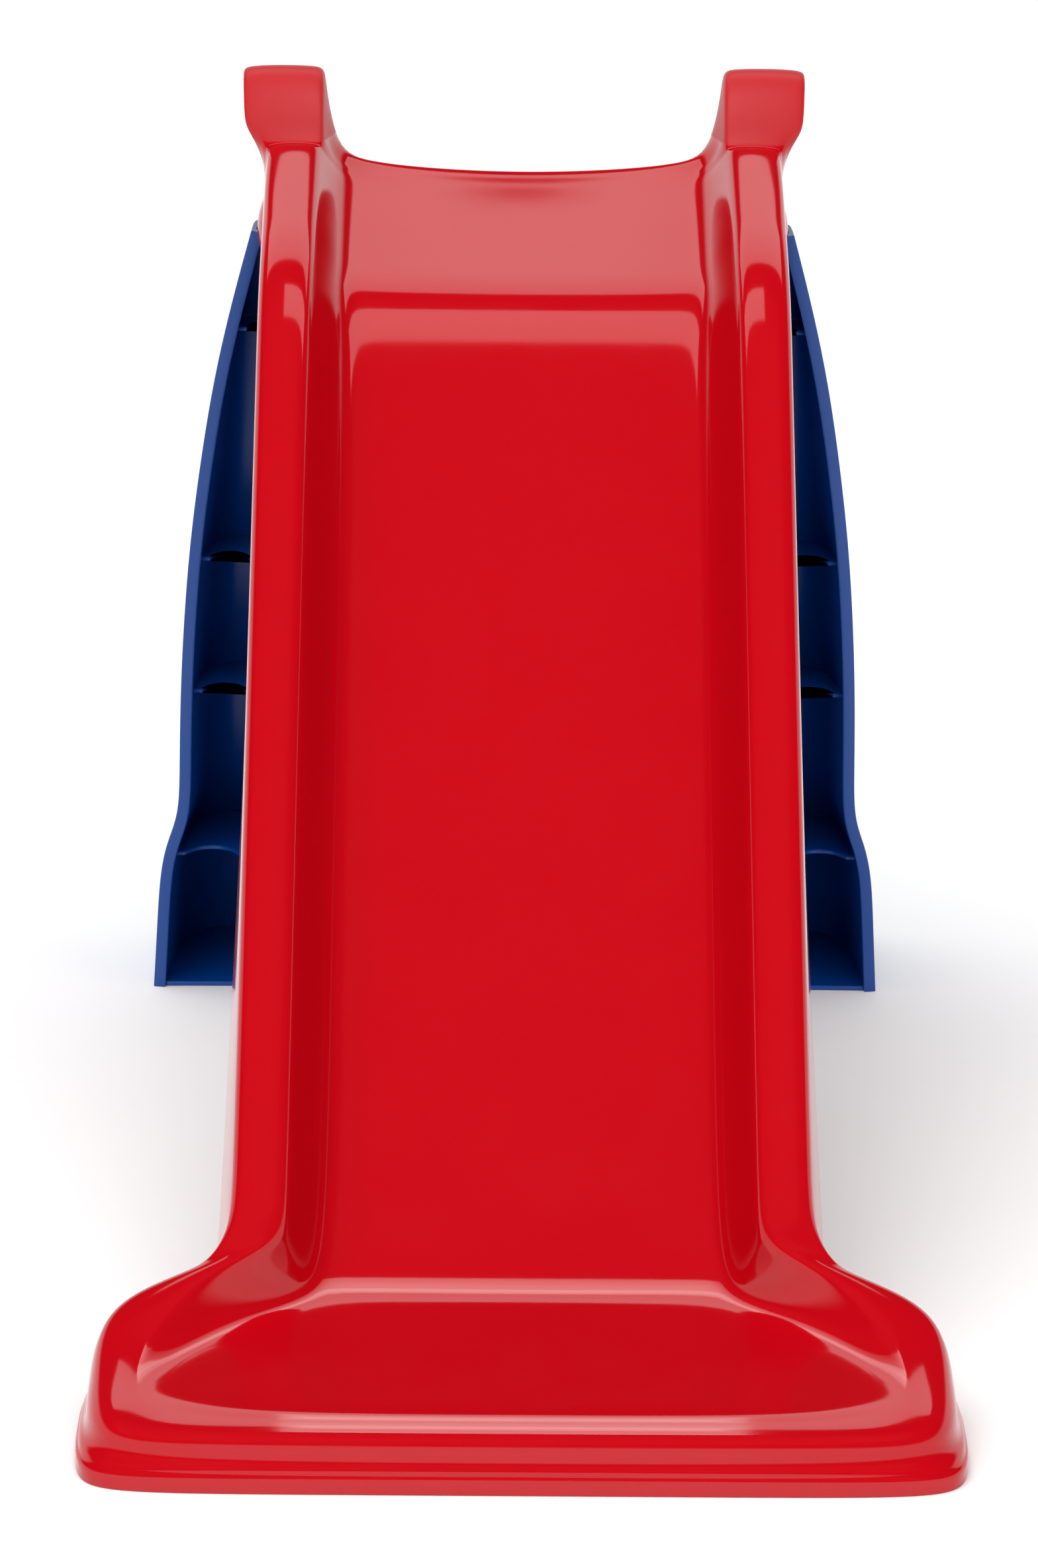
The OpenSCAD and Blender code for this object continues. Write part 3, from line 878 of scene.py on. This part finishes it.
    def net(self) -> np.ndarray:
        """All the rows."""
        s, out, top, rise = self.size, self.size.hood_out, self.size.post_h, self.size.rise
        bend = s.bend
        rows = self.foot() + [self.toe_row()]
        rows += [self.slope_row(share) for share in (0.06, 0.3, 0.58, 0.84, 0.955)]
        rows += [
            self.deck_row(152, bend + (40, -44)),
            self.deck_row(120, bend + (64, -36), 0.2),
            self.deck_row(80, s.cheek(200), 0.47),
            self.deck_row(50, s.cheek(220), 0.65),
            self.deck_row(30, s.cheek(240), 0.8),
            self.post_row((-20, rise - 7.1), (-35, 20), 250, out - 14, 0.5),
            self.post_row((-15, rise - 5.3), (-30, 27), 256, out - 11, 0.75),
            self.post_row((-11, rise - 3.9), (-27, 32), 261, out - 2),
            self.post_row((-7, rise - 2.5), (-21, 43), 266, out - 1),
            self.post_row((-2, rise - 0.6), (-8, top - 1), 276, out),
            self.post_row((3, rise), (10, top + 1), 290, out),
            self.post_row((5, rise - 5), (30, top - 9), 306, out - 1),
            self.post_row((6, -16), (37, 34), 324, out - 11),
            self.post_row((6, -34), (35, -8), 345, -1),
        ]
        return np.array(rows, float)

    def relief(self, grid: np.ndarray) -> np.ndarray:
        """How far the flange's two ridges stand out, at each point of the grid."""
        rows, cols = grid.shape[:2]
        t = stations(self.columns)
        ridges = 0.7 * np.exp(-(((t - 9.55) / 0.22) ** 2)) - 0.55 * np.exp(-(((t - 10.05) / 0.16) ** 2))
        ends = sum(self.foot_steps[:-1])
        fade = np.clip((ends - np.arange(rows)) / 8.0, 0, 1)
        return fade[:, None] * ridges[None, :] * np.ones((rows, cols))

    def dome(self) -> Mesh:
        """The round cap over the hinge, on the right side."""
        s = self.size
        radius, rise = self.dome_r, self.dome_rise
        ball = (radius**2 + rise**2) / (2 * rise)
        cap = [(r, rise - ball + math.sqrt(ball**2 - r * r)) for r in np.linspace(0, radius - 0.5, 16)]
        profile = [(0.0, -0.5), (radius, -0.5), (radius, 0.2), *cap[::-1]]
        return lathe([(r, s.cheek_x - 1 + c) for r, c in profile], s.at_hinge)

    def boss(self) -> Mesh:
        """The boss inside the cheek, with its blind hole, on the right side."""
        s = self.size
        low, high = s.cheek_in, s.cheek_x - 0.8
        hole, edge, end = self.hole_r, self.boss_r, low + self.hole_depth
        profile = [(0.0, end), (hole - 0.4, end), (hole, end - 0.4), (hole, low + 0.5), (hole + 0.5, low),
                   (edge - 0.5, low), (edge, low + 0.5), (edge, high), (0.0, high)]
        return lathe(profile, s.at_hinge)

    def build(self) -> Solid:
        """Makes the moulding.

        Returns:
            The solid.
        """
        steps = self.foot_steps + self.slope_steps + self.post_steps
        grid = skin(self.net(), steps, self.columns, True)
        grid[..., 1] -= self.size.length / 2
        shell = Shell(grid, self.size.wall, True, self.relief(grid))
        solid = Solid("chute_moulding", shell.mesh())
        for piece in (self.dome(), self.boss()):
            for mesh in (piece, piece.mirrored()):
                solid.take(Solid("part", mesh))
        return solid

    def dress(self) -> bpy.types.Object:
        """Builds it and gives it to the frame."""
        return self.build().finish(Body.CHUTE, Slot.CHUTE, self.finish.make(), ["chute"])


# ---------- ladder ----------
@dataclass
class Ladder:
    """The blue moulding: two open-fronted side channels with webs, and the treads between them."""

    size: Layout
    finish: Finish
    wall: float = 3.0
    rim_lean: float = 65.0
    foot_depth: float = 125.0
    tip_depth: float = 40.0
    foot_top: float = 118.0
    tread_skirt: float = 26.0
    lip: float = 4.5
    treads: int = 3
    hub_wall: float = 6.0
    hub_l: float = 18.0
    carrier_r: float = 20.0
    neck_drop: float = 70.0
    neck_w: float = 38.0
    base_w: float = 40.0
    base_h: float = 40.0
    grip_pitch: float = 8.0
    grip_r: float = 1.2
    row_steps: int = 7
    column_steps: tuple[int, ...] = (6, 6, 6, 6, 8, 6, 6, 8, 5, 5)

    def __post_init__(self) -> None:
        """Works out what follows from the layout."""
        s = self.size
        self.rim_u = s.hinge_u + self.rim_lean
        self.toe = s.length - self.rim_u - self.foot_depth
        self.tip_z = s.hinge_z - 2
        self.tip_half = s.cheek_x + 7
        self.well_half = s.rail_out - 6.5
        self.webs = (88.0, self.up(0.21), self.up(0.44), s.hinge_z - 66)

    def up(self, share: float) -> float:
        """A height between the flared foot and the tip."""
        return mix(self.foot_top, self.tip_z, share)

    def edge_x(self, z: float) -> float:
        """Half width over the outer blades."""
        shares = [(0, 1), (79, 0.925), (100, 0.85), (self.foot_top, 0.735)]
        shares += [(self.up(t), s) for t, s in ((0.21, 0.71), (0.39, 0.65), (0.51, 0.58), (0.63, 0.48),
                                               (0.77, 0.345), (0.89, 0.175), (1.0, 0.0))]
        return mix(self.tip_half, self.size.half, along(shares, z))

    def well_x(self, z: float) -> float:
        """Half width between the side channels' inner walls."""
        top = self.size.hinge_z
        return mix(self.well_half, self.size.hub_in, max(0.0, (z - top + 200) / 200))

    def rim(self, z: float) -> float:
        """How far back the front rim is."""
        return mix(self.rim_u, self.size.hinge_u, z / self.size.hinge_z)

    def depth(self, z: float) -> float:
        """Depth of the channels."""
        d = self.foot_depth
        return along([(0, d), (79, d - 8), (self.foot_top, d - 30), (self.tip_z, self.tip_depth)], z)

    def curl(self, z: float) -> float:
        """How much the blade curves inwards."""
        return along([(0, 1), (self.tip_z - 150, 1), (self.tip_z - 45, 0.2), (self.tip_z, 0.05)], z)

    def channel_row(self, z: float) -> list[Point]:
        """A level row of a side channel: outer blade, rounded back, inner wall."""
        x, w, d, k = self.edge_x(z), self.well_x(z), self.depth(z), self.curl(z)
        back = mix(w, x, 0.45)
        spots = [(x, 0), (x - 1.5 * k, 8), (x - 5 * k, 18), (x - 8 * k, 0.5 * d), (x - 13 * k, 0.84 * d),
                 (mix(x, back, 0.2 + 0.52 * k), d), (back, d), (w + 8, d), (w, 0.86 * d), (w, 0.5 * d),
                 (w, 0)]
        return [self.size.world(a, self.rim(z) + u, z) for a, u in spots]

    def channel(self) -> Mesh:
        """The side channel on the right."""
        shares = (0.085, 0.215, 0.35, 0.48, 0.61, 0.74, 0.85, 0.94, 1.0)
        levels = [0, 40, 79, 100, self.foot_top, *(self.up(share) for share in shares)]
        net = np.array([self.channel_row(z) for z in levels], float)
        grid = skin(net, [self.row_steps] * (len(levels) - 1), self.column_steps, False)
        t = stations(self.column_steps)
        lip = self.wall + self.lip * np.clip(1.4 - t, 0, 1) ** 2
        return Shell(grid, lip, False).mesh()

    def web(self, z: float) -> Mesh:
        """A web across the right channel, with a scalloped front edge."""
        x, w, d, k, r = self.edge_x(z), self.well_x(z), self.depth(z), self.curl(z), self.rim(z)
        half = (x - 9 - w) * 0.26
        middle, b = x - 13 - half, 23.0
        left, right = (w + 1, 3.0), (x - 4 * k, 12.0)

        def front(a: float) -> float:
            """How far behind the rim the web's edge is, at a half width."""
            line = mix(left[1], right[1], (a - left[0]) / (right[0] - left[0]))
            arc = 2 + b * math.sqrt(max(0.0, 1 - ((a - middle) / half) ** 2))
            return (line + arc + math.sqrt((line - arc) ** 2 + 9)) / 2 - 0.2

        edge = [middle - half * 1.15 * math.cos(a) for a in np.linspace(0, math.pi, 41)]
        edge = [left[0], *(a for a in edge if left[0] + 2 < a < right[0] - 2), right[0]]
        outline = [(a, r + front(a)) for a in edge]
        outline += [(x - 6.5 * k, r + 20), (x - 9.5 * k - 1, r + 0.5 * d), (x - 14.5 * k - 1, r + 0.8 * d),
                    (mix(x, w, 0.5), r + d - 1.5), (w + 9, r + d - 1.5), (w + 1, r + 0.8 * d)]
        return prism(outline, z - self.wall / 2, z + self.wall / 2, self.size.world)

    def tread(self, z: float) -> tuple[Mesh, list[Mesh]]:
        """A cross piece with rounded edges and its ribs.

        Args:
            z: Height of its top.

        Returns:
            The folded plate and the ribs under it.
        """
        w, r, d, t = self.well_x(z) + 1, self.rim(z) + 6, self.depth(z) - 8, self.wall
        low = z - self.tread_skirt
        outer = rounded([(r, low), (r, z), (r + d, z), (r + d, low)], 9, 8)[1:]
        bend = [(r + d - t, low), (r + d - t, z - t), (r + t, z - t), (r + t, low)]
        inner = rounded(bend, 6, 6)
        outline = [(r, low), *[p for p in outer if p != (r, low)], *inner]
        place = lambda u, c, a: self.size.world(a, u, c)
        ribs = [self._slab(x * w / 3, r + 1, d - 2, low + 4, z - 1) for x in range(-2, 3)]
        return prism(outline, -w, w, place), ribs

    def _slab(self, x: float, u: float, d: float, low: float, high: float) -> Mesh:
        """An upright rib across a tread."""
        place = lambda a, b, c: self.size.world(x + c, a, b)
        outline = rounded([(u, low + 3), (u, high), (u + d, high), (u + d, low + 3), (u + d / 2, low)], 6)
        return prism(outline, -self.wall / 2, self.wall / 2, place)

    def hub(self) -> list[Mesh]:
        """The hub on the right and the plate that carries it."""
        s, r = self.size, self.size.bush_d / 2
        low, high, edge, round_ = s.hub_in, s.hub_in + self.hub_l, r + self.hub_wall, self.carrier_r
        tube = [(r, low + 0.6), (r + 0.6, low), (edge - 0.8, low), (edge, low + 0.8), (edge, high - 0.8),
                (edge - 0.8, high), (r + 0.6, high), (r, high - 0.6)]
        neck = self.tip_z - self.neck_drop
        arc = [(s.hinge_u + round_ * math.cos(a), s.hinge_z + round_ * math.sin(a))
               for a in np.linspace(math.radians(-25), math.radians(205), 40)]
        outline = [(self.rim(neck), neck), (self.rim(neck) + self.neck_w, neck), *arc]
        place = lambda u, z, x: s.world(x, u, z)
        bore = lathe([(0.0, low - 6), (r, low - 6), (r, high + 2), (0.0, high + 2)], s.at_hinge, 96)
        return [lathe(tube, s.at_hinge), prism(outline, low, low + self.wall, place), bore]

    def foot_plate(self) -> Mesh:
        """The level plate under the right channel."""
        x, d, w, r = self.edge_x(0), self.foot_depth, self.well_half, self.rim_u
        outline = [(w + 1, r + 2), (x - 2, r + 1), (x - 6, r + 0.5 * d), (x - 13, r + 0.82 * d),
                   (x - 30, r + d), (w + 6, r + d), (w + 1, r + 0.8 * d)]
        return prism(rounded(outline, 8), 0, self.wall, self.size.world)

    def base(self) -> list[Mesh]:
        """The cross piece on the floor: a plate and its upright."""
        w, back, t = self.well_half + 1, self.rim_u + self.foot_depth - self.base_w, self.wall
        end = back + self.base_w + self.toe
        plate = [(back, 0), (end, 0), (end, t), (back, t)]
        upright = [(back, 0), (back + t, 0), (back + t, self.base_h), (back, self.base_h)]
        place = lambda u, z, x: self.size.world(x, u, z)
        return [prism(plate, -w, w, place), prism(upright, -w, w, place)]

    def build(self) -> Solid:
        """Makes the moulding.

        Returns:
            The solid.
        """
        channel = self.channel()
        solid = Solid("ladder_moulding", channel)
        solid.take(Solid("part", channel.mirrored()))
        tube, carrier, bore = self.hub()
        sides = [(self.web(z), 1.2) for z in self.webs]
        sides += [(self.foot_plate(), 0.5), (tube, 0), (carrier, 1.0)]
        for mesh, bevel in sides:
            for one in (mesh, mesh.mirrored()):
                solid.take(Solid("part", one, bevel=bevel, angle=50))
        for z in (*self.levels(), self.size.hinge_z - 16):
            plate, ribs = self.tread(z)
            solid.take(Solid("part", plate))
            for rib in ribs:
                solid.take(Solid("part", rib))
        for mesh in self.base():
            solid.take(Solid("part", mesh, bevel=0.7, angle=50))
        for one in (bore, bore.mirrored()):
            solid.take(Solid("part", one), "DIFFERENCE")
        return solid

    def levels(self) -> list[float]:
        """Heights of the treads' tops."""
        return [(i + 1) * (self.size.deck_h - 5) / (self.treads + 1) for i in range(self.treads)]

    def grips(self, z: float, material: bpy.types.Material) -> Solid:
        """The grip bars on the tread with its top at z."""
        pitch, depth, w = self.grip_pitch, self.depth(z) - 8, self.well_x(z)
        bars = int((depth - 24) / pitch) + 1
        first = self.rim(z) + 6 + (depth - pitch * (bars - 1)) / 2
        at = tuple(c * MM for c in self.size.world(0, first, z - 0.2))
        sizes = {"Bars": bars, "Pitch": pitch * MM, "Length": 2 * (w - 12) * MM,
                 "Radius": self.grip_r * MM}
        return grip_bars(f"grip_bars_{z:.0f}", at, sizes, material)

    def dress(self) -> bpy.types.Object:
        """Builds it and gives it to the frame."""
        material = self.finish.make()
        solid = self.build()
        for z in self.levels():
            solid.take(self.grips(z, material))
        return solid.finish(Body.LADDER, Slot.LADDER, material, ["ladder"])


# ---------- repeated shapes ----------
class Grown:
    """A Geometry Nodes tree with named inputs, turned into a plain mesh."""

    def __init__(self, name: str, sizes: dict[str, float], material: bpy.types.Material) -> None:
        """Starts the tree.

        Args:
            name: Name of the tree and of what it makes.
            sizes: Its inputs, by name.
            material: What it is made of.
        """
        self.name, self.sizes, self.material = name, sizes, material
        self.tree = bpy.data.node_groups.new(name, "GeometryNodeTree")
        self.graph = Graph(self.tree)
        face = self.tree.interface
        self.keys = {
            word: face.new_socket(
                name=word, in_out="INPUT",
                socket_type="NodeSocketInt" if isinstance(value, int) else "NodeSocketFloat",
            ).identifier
            for word, value in sizes.items()
        }
        face.new_socket(name="Geometry", in_out="OUTPUT", socket_type="NodeSocketGeometry")
        self.inputs = self.graph.node("NodeGroupInput")

    def size(self, word: str) -> Num:
        """One of the named inputs."""
        return self.graph.num(self.inputs, word)

    def vector(self, x: Any, y: Any, z: Any) -> bpy.types.NodeSocket:
        """A vector from three numbers."""
        return self.graph.node("ShaderNodeCombineXYZ", None, {0: x, 1: y, 2: z}).outputs[0]

    def solid(self, geometry: bpy.types.NodeSocket) -> Solid:
        """Ends the tree and bakes what it makes.

        Args:
            geometry: The instances.

        Returns:
            The solid.
        """
        g = self.graph
        real = g.node("GeometryNodeRealizeInstances", None, {0: geometry}).outputs[0]
        done = g.node("GeometryNodeSetMaterial", None, {"Geometry": real, "Material": self.material})
        g.node("NodeGroupOutput", None, {0: done.outputs[0]})
        made = Solid(self.name, Mesh())
        modifier = made.object.modifiers.new(self.name, "NODES")
        modifier.node_group = self.tree
        for word, value in self.sizes.items():
            modifier[self.keys[word]] = value
        made.bake()
        return made


def grip_bars(name: str, at: Point, sizes: dict[str, float], material: bpy.types.Material) -> Solid:
    """Round bars side by side, along X.

    Args:
        name: Their name.
        at: Middle of the first, in metres.
        sizes: Bars (how many), Pitch, Length and Radius, in metres.
        material: What they are made of.

    Returns:
        The bars.
    """
    t = Grown(name, sizes, material)
    g = t.graph
    line = g.node("GeometryNodeMeshLine", None, {"Count": t.size("Bars"), "Start Location": at,
                                                 "Offset": t.vector(0.0, t.size("Pitch"), 0.0)})
    bar = g.node("GeometryNodeMeshCylinder", None, {"Vertices": 20, "Radius": t.size("Radius"),
                                                    "Depth": t.size("Length")})
    turned = g.node("GeometryNodeTransform", None, {0: bar.outputs[0], "Rotation": (0, math.pi / 2, 0)})
    placed = g.node("GeometryNodeInstanceOnPoints", None, {"Points": line.outputs[0],
                                                           "Instance": turned.outputs[0]})
    return t.solid(placed.outputs[0])


def nut_teeth(name: str, at: Point, sizes: dict[str, float], material: bpy.types.Material) -> Solid:
    """Teeth round a push nut's hole, about an axis along X.

    Args:
        name: Their name.
        at: Middle of the ring they stand in, in metres.
        sizes: Teeth (how many), Ring (radius), Reach, Width and Thickness, in metres.
        material: What they are made of.

    Returns:
        The teeth.
    """
    t = Grown(name, sizes, material)
    g = t.graph
    ring = g.node("GeometryNodeMeshCircle", None, {"Vertices": t.size("Teeth"), "Radius": t.size("Ring")})
    tooth = g.node("GeometryNodeMeshCube", None, {
        "Size": t.vector(t.size("Reach"), t.size("Width"), t.size("Thickness"))})
    index = g.num(g.node("GeometryNodeInputIndex"))
    turn = t.vector(0.0, 0.0, index * (2 * math.pi) / t.size("Teeth"))
    placed = g.node("GeometryNodeInstanceOnPoints", None, {"Points": ring.outputs[0],
                                                           "Instance": tooth.outputs[0], "Rotation": turn})
    upright = g.node("GeometryNodeTransform", None, {0: placed.outputs[0], "Translation": at,
                                                     "Rotation": (0, math.pi / 2, 0)})
    return t.solid(upright.outputs[0])


# ---------- hinge hardware ----------
@dataclass
class HingeHardware:
    """Both hinges' waved spring washers and toothed push nuts, and the looks of their pins and bushings."""

    size: Layout
    steel: Finish
    nylon: Finish
    acetal: Finish
    waves: int = 3
    sheet: float = 0.5
    washer_r: float = 11.5
    pin_gap: float = 0.08
    teeth: int = 10
    tooth_root: float = 8.2
    # How far inside the hub's end the nut's outside, its seat and the washer's far face are.
    seats: tuple[float, float, float] = (2.9, 1.7, 0.3)

    def washer(self, side: Side) -> Mesh:
        """A waved ring between the hub and the nut."""
        s = self.size
        low, high = (s.hub_in - gap for gap in self.seats[1:])
        bore, edge, top = s.pin_r + self.pin_gap, self.washer_r, low + self.sheet
        swing = (high - low - self.sheet) / 2
        made = lathe(rounded([(bore, low), (edge, low), (edge, top), (bore, top)], 0.15, 2), s.at_hinge)
        bent = []
        for x, u, z in made.points:
            angle = math.atan2(z - s.hinge_z, u + s.length / 2 - s.hinge_u)
            bent.append((side.value * (x + swing * (1 + math.cos(self.waves * angle))), u, z))
        return Mesh(bent, made.faces)

    def nut(self, side: Side, material: bpy.types.Material) -> Solid:
        """The nut's dished ring and its teeth."""
        s = self.size
        low, high = (s.hub_in - gap for gap in self.seats[:2])
        root, edge = self.tooth_root, s.nut_r
        profile = rounded([(root, low + 0.1), (edge - 0.9, low), (edge, low + 0.4), (edge, high),
                           (edge - 0.6, high), (edge - 1.2, low + 0.75), (root, low + 0.8)], 0.3, 2)
        ring = lathe(profile, s.at_hinge)
        solid = Solid(f"push_nut_ring_{side.word}", ring if side is Side.RIGHT else ring.mirrored())
        middle = tuple(c * MM for c in s.at_hinge(0, 0, side.value * (low + 0.45)))
        sizes = {"Teeth": self.teeth, "Ring": 7.7 * MM, "Reach": 1.3 * MM, "Width": 2.6 * MM,
                 "Thickness": 0.55 * MM}
        return solid.take(nut_teeth(f"nut_teeth_{side.word}", middle, sizes, material))

    def dress(self) -> None:
        """Builds the steel pieces and gives the carried-over pins and bushings their finishes."""
        steel, nylon, acetal = self.steel.make(), self.nylon.make(), self.acetal.make()
        for side in Side:
            washer = Solid(f"waved_washer_{side.word}", self.washer(side))
            washer.finish(Body.CHUTE, Slot.SPRING, steel, [f"spring_washer_{side.word}"])
            self.nut(side, steel).finish(Body.CHUTE, Slot.SPRING, steel, [f"push_nut_{side.word}"])
            for node, material in ((f"hinge_pin_{side.word}", nylon), (f"bushing_{side.word}", acetal)):
                data = bpy.data.objects[node].data
                data.materials.clear()
                data.materials.append(material)
                LOG.info("carried over %s", node)


# ---------- studio ----------
@dataclass
class Studio:
    """The pale floor, the soft lights and the camera."""

    floor_radius: float = 14.0
    camera_at: tuple[float, float, float] = (-0.0277, -3.3745, 1.205)
    camera_turn: float = -0.448
    camera_dip: float = 16.04
    camera_roll: float = 0.55
    lens: float = 141.84

    def floor(self) -> None:
        """The floor, a round disc of rings."""
        rings = (0.5, 1.5, 4.0, self.floor_radius)
        points, faces, n = [(0.0, 0.0, 0.0)], [], 64
        around = [2 * math.pi * k / n for k in range(n)]
        for r in rings:
            points += [(r * math.cos(a), r * math.sin(a), 0) for a in around]
        faces += [(0, 1 + k, 1 + (k + 1) % n) for k in range(n)]
        for i in range(len(rings) - 1):
            a, b = 1 + i * n, 1 + (i + 1) * n
            faces += [(a + k, b + k, b + (k + 1) % n, a + (k + 1) % n) for k in range(n)]
        data = bpy.data.meshes.new("floor")
        data.from_pydata(points, [], faces)
        material = bpy.data.materials.new("studio_floor")
        material.use_nodes = True
        g = Graph(material.node_tree)
        place, *_ = g.place()
        pale = g.mixed(g.noise(place, 3.0), (0.93, 0.93, 0.93, 1), (0.9, 0.9, 0.9, 1))
        shader = g.node("ShaderNodeBsdfPrincipled", None, {"Base Color": pale, "Roughness": 0.7})
        g.node("ShaderNodeOutputMaterial", None, {"Surface": shader.outputs[0]})
        data.materials.append(material)
        floor = bpy.data.objects.new("floor", data)
        bpy.context.scene.collection.objects.link(floor)
        floor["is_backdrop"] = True

    def world(self) -> None:
        """Pale near the floor, dark above."""
        world = bpy.data.worlds.new("studio")
        bpy.context.scene.world = world
        world.use_nodes = True
        g = Graph(world.node_tree)
        coords = g.node("ShaderNodeTexCoord").outputs["Generated"]
        split = g.node("ShaderNodeSeparateXYZ", inputs={0: coords})
        dark = g.num(split, 2).step(0.3, 0.5)
        colour = g.mixed(dark, (1, 1, 1, 1), (0.03, 0.03, 0.03, 1))
        background = g.node("ShaderNodeBackground", None, {"Color": colour, "Strength": 1.0})
        g.node("ShaderNodeOutputWorld", None, {"Surface": background.outputs[0]})

    def _place(self, light: bpy.types.Object, at: Point, aim: Point) -> bpy.types.Object:
        """Puts a light somewhere and points it."""
        light.location = at
        way = Vector(aim) - Vector(at)
        light.rotation_euler = way.to_track_quat("-Z", "Y").to_euler()
        light.visible_camera = False
        bpy.context.scene.collection.objects.link(light)
        return light

    def sun(self, name: str, at: Point, strength: float, spread: float) -> None:
        """One wide soft light that only shapes, and isn't mirrored.

        Args:
            name: Its name.
            at: Direction it comes from.
            strength: Its strength.
            spread: Its angular size in degrees.
        """
        data = bpy.data.lights.new(name, "SUN")
        data.energy, data.angle = strength, math.radians(spread)
        self._place(bpy.data.objects.new(name, data), at, (0, 0, 0)).visible_glossy = False

    def panel(self, name: str, at: Point, aim: Point, size: tuple[float, float], radiance: float,
              spread: float = 180.0) -> None:
        """One rectangular panel that is only seen mirrored in glossy surfaces.

        Args:
            name: Its name.
            at: Where it is.
            aim: What it points at.
            size: Its width and height.
            radiance: How bright its face is; a white wall in full light is 1.
            spread: How wide it shines, in degrees.
        """
        data = bpy.data.lights.new(name, "AREA")
        data.shape, data.size, data.size_y = "RECTANGLE", *size
        data.spread = math.radians(spread)
        data.energy = radiance * math.pi * size[0] * size[1]
        data.use_nodes = True
        g = Graph(data.node_tree)
        first = 1 - g.num(g.node("ShaderNodeLightPath"), "Ray Depth").step(2.0, 3.0)
        shine = g.node("ShaderNodeEmission", None, {"Strength": first})
        g.node("ShaderNodeOutputLight", None, {"Surface": shine.outputs[0]})
        self._place(bpy.data.objects.new(name, data), at, aim).visible_diffuse = False

    def camera(self) -> None:
        """The camera, in front and above, looking back at the slide."""
        data = bpy.data.cameras.new("camera")
        data.lens, data.sensor_width, data.clip_end = self.lens, 36.0, 60.0
        camera = bpy.data.objects.new("camera", data)
        turn = Matrix.Rotation(math.radians(self.camera_turn), 4, "Z")
        tip = Matrix.Rotation(math.radians(90 - self.camera_dip), 4, "X")
        roll = Matrix.Rotation(math.radians(self.camera_roll), 4, "Z")
        camera.matrix_world = Matrix.Translation(self.camera_at) @ turn @ tip @ roll
        bpy.context.scene.collection.objects.link(camera)
        bpy.context.scene.camera = camera

    def build(self) -> None:
        """Sets it all up."""
        self.floor()
        self.world()
        self.sun("key", (-0.2, -0.25, 1.0), 3.0, 70)
        self.sun("fill", (0.5, -1.0, 0.8), 0.8, 90)
        self.sun("low_front", (0.0, -1.0, 0.15), 0.5, 60)
        self.panel("top_box", (0, 0.1295, 0.82), (0, 0.1295, 0), (0.30, 0.098), 1.9)
        self.panel("canopy", (0, 0.7675, 1.297), (0, 0.7675, 0), (1.3, 0.5), 1.5)
        self.panel("bend_box", (0, -0.0855, 0.602), (0, -0.3245, 0.052), (0.30, 0.244), 0.35, 60)
        self.camera()
        bpy.context.scene.view_settings.view_transform = "Standard"


def main() -> None:
    """Builds the slide and its setting."""
    logging.basicConfig(level=logging.INFO, format="%(name)s %(message)s")
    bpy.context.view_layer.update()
    size = Layout.measured()
    red = SlideRed("gloss_red", (0.44, 0.0009, 0.0052, 1), (0.425, 0.0008, 0.005, 1), 0.08)
    blue = Finish("deep_blue", (0.0, 0.05, 0.27, 1), (0.0, 0.045, 0.24, 1), 0.34)
    Chute(size, red).dress()
    Ladder(size, blue).dress()
    steel = Finish("spring_steel", (0.6, 0.6, 0.6, 1), (0.52, 0.52, 0.53, 1), 0.3, 0.1, 1.0, 2500.0)
    nylon = Finish("natural_nylon", (0.8, 0.8, 0.77, 1), (0.74, 0.74, 0.7, 1), 0.45)
    acetal = Finish("dark_acetal", (0.035, 0.035, 0.04, 1), (0.028, 0.028, 0.032, 1), 0.4)
    HingeHardware(size, steel, nylon, acetal).dress()
    Studio().build()


if __name__ == "__main__":
    main()
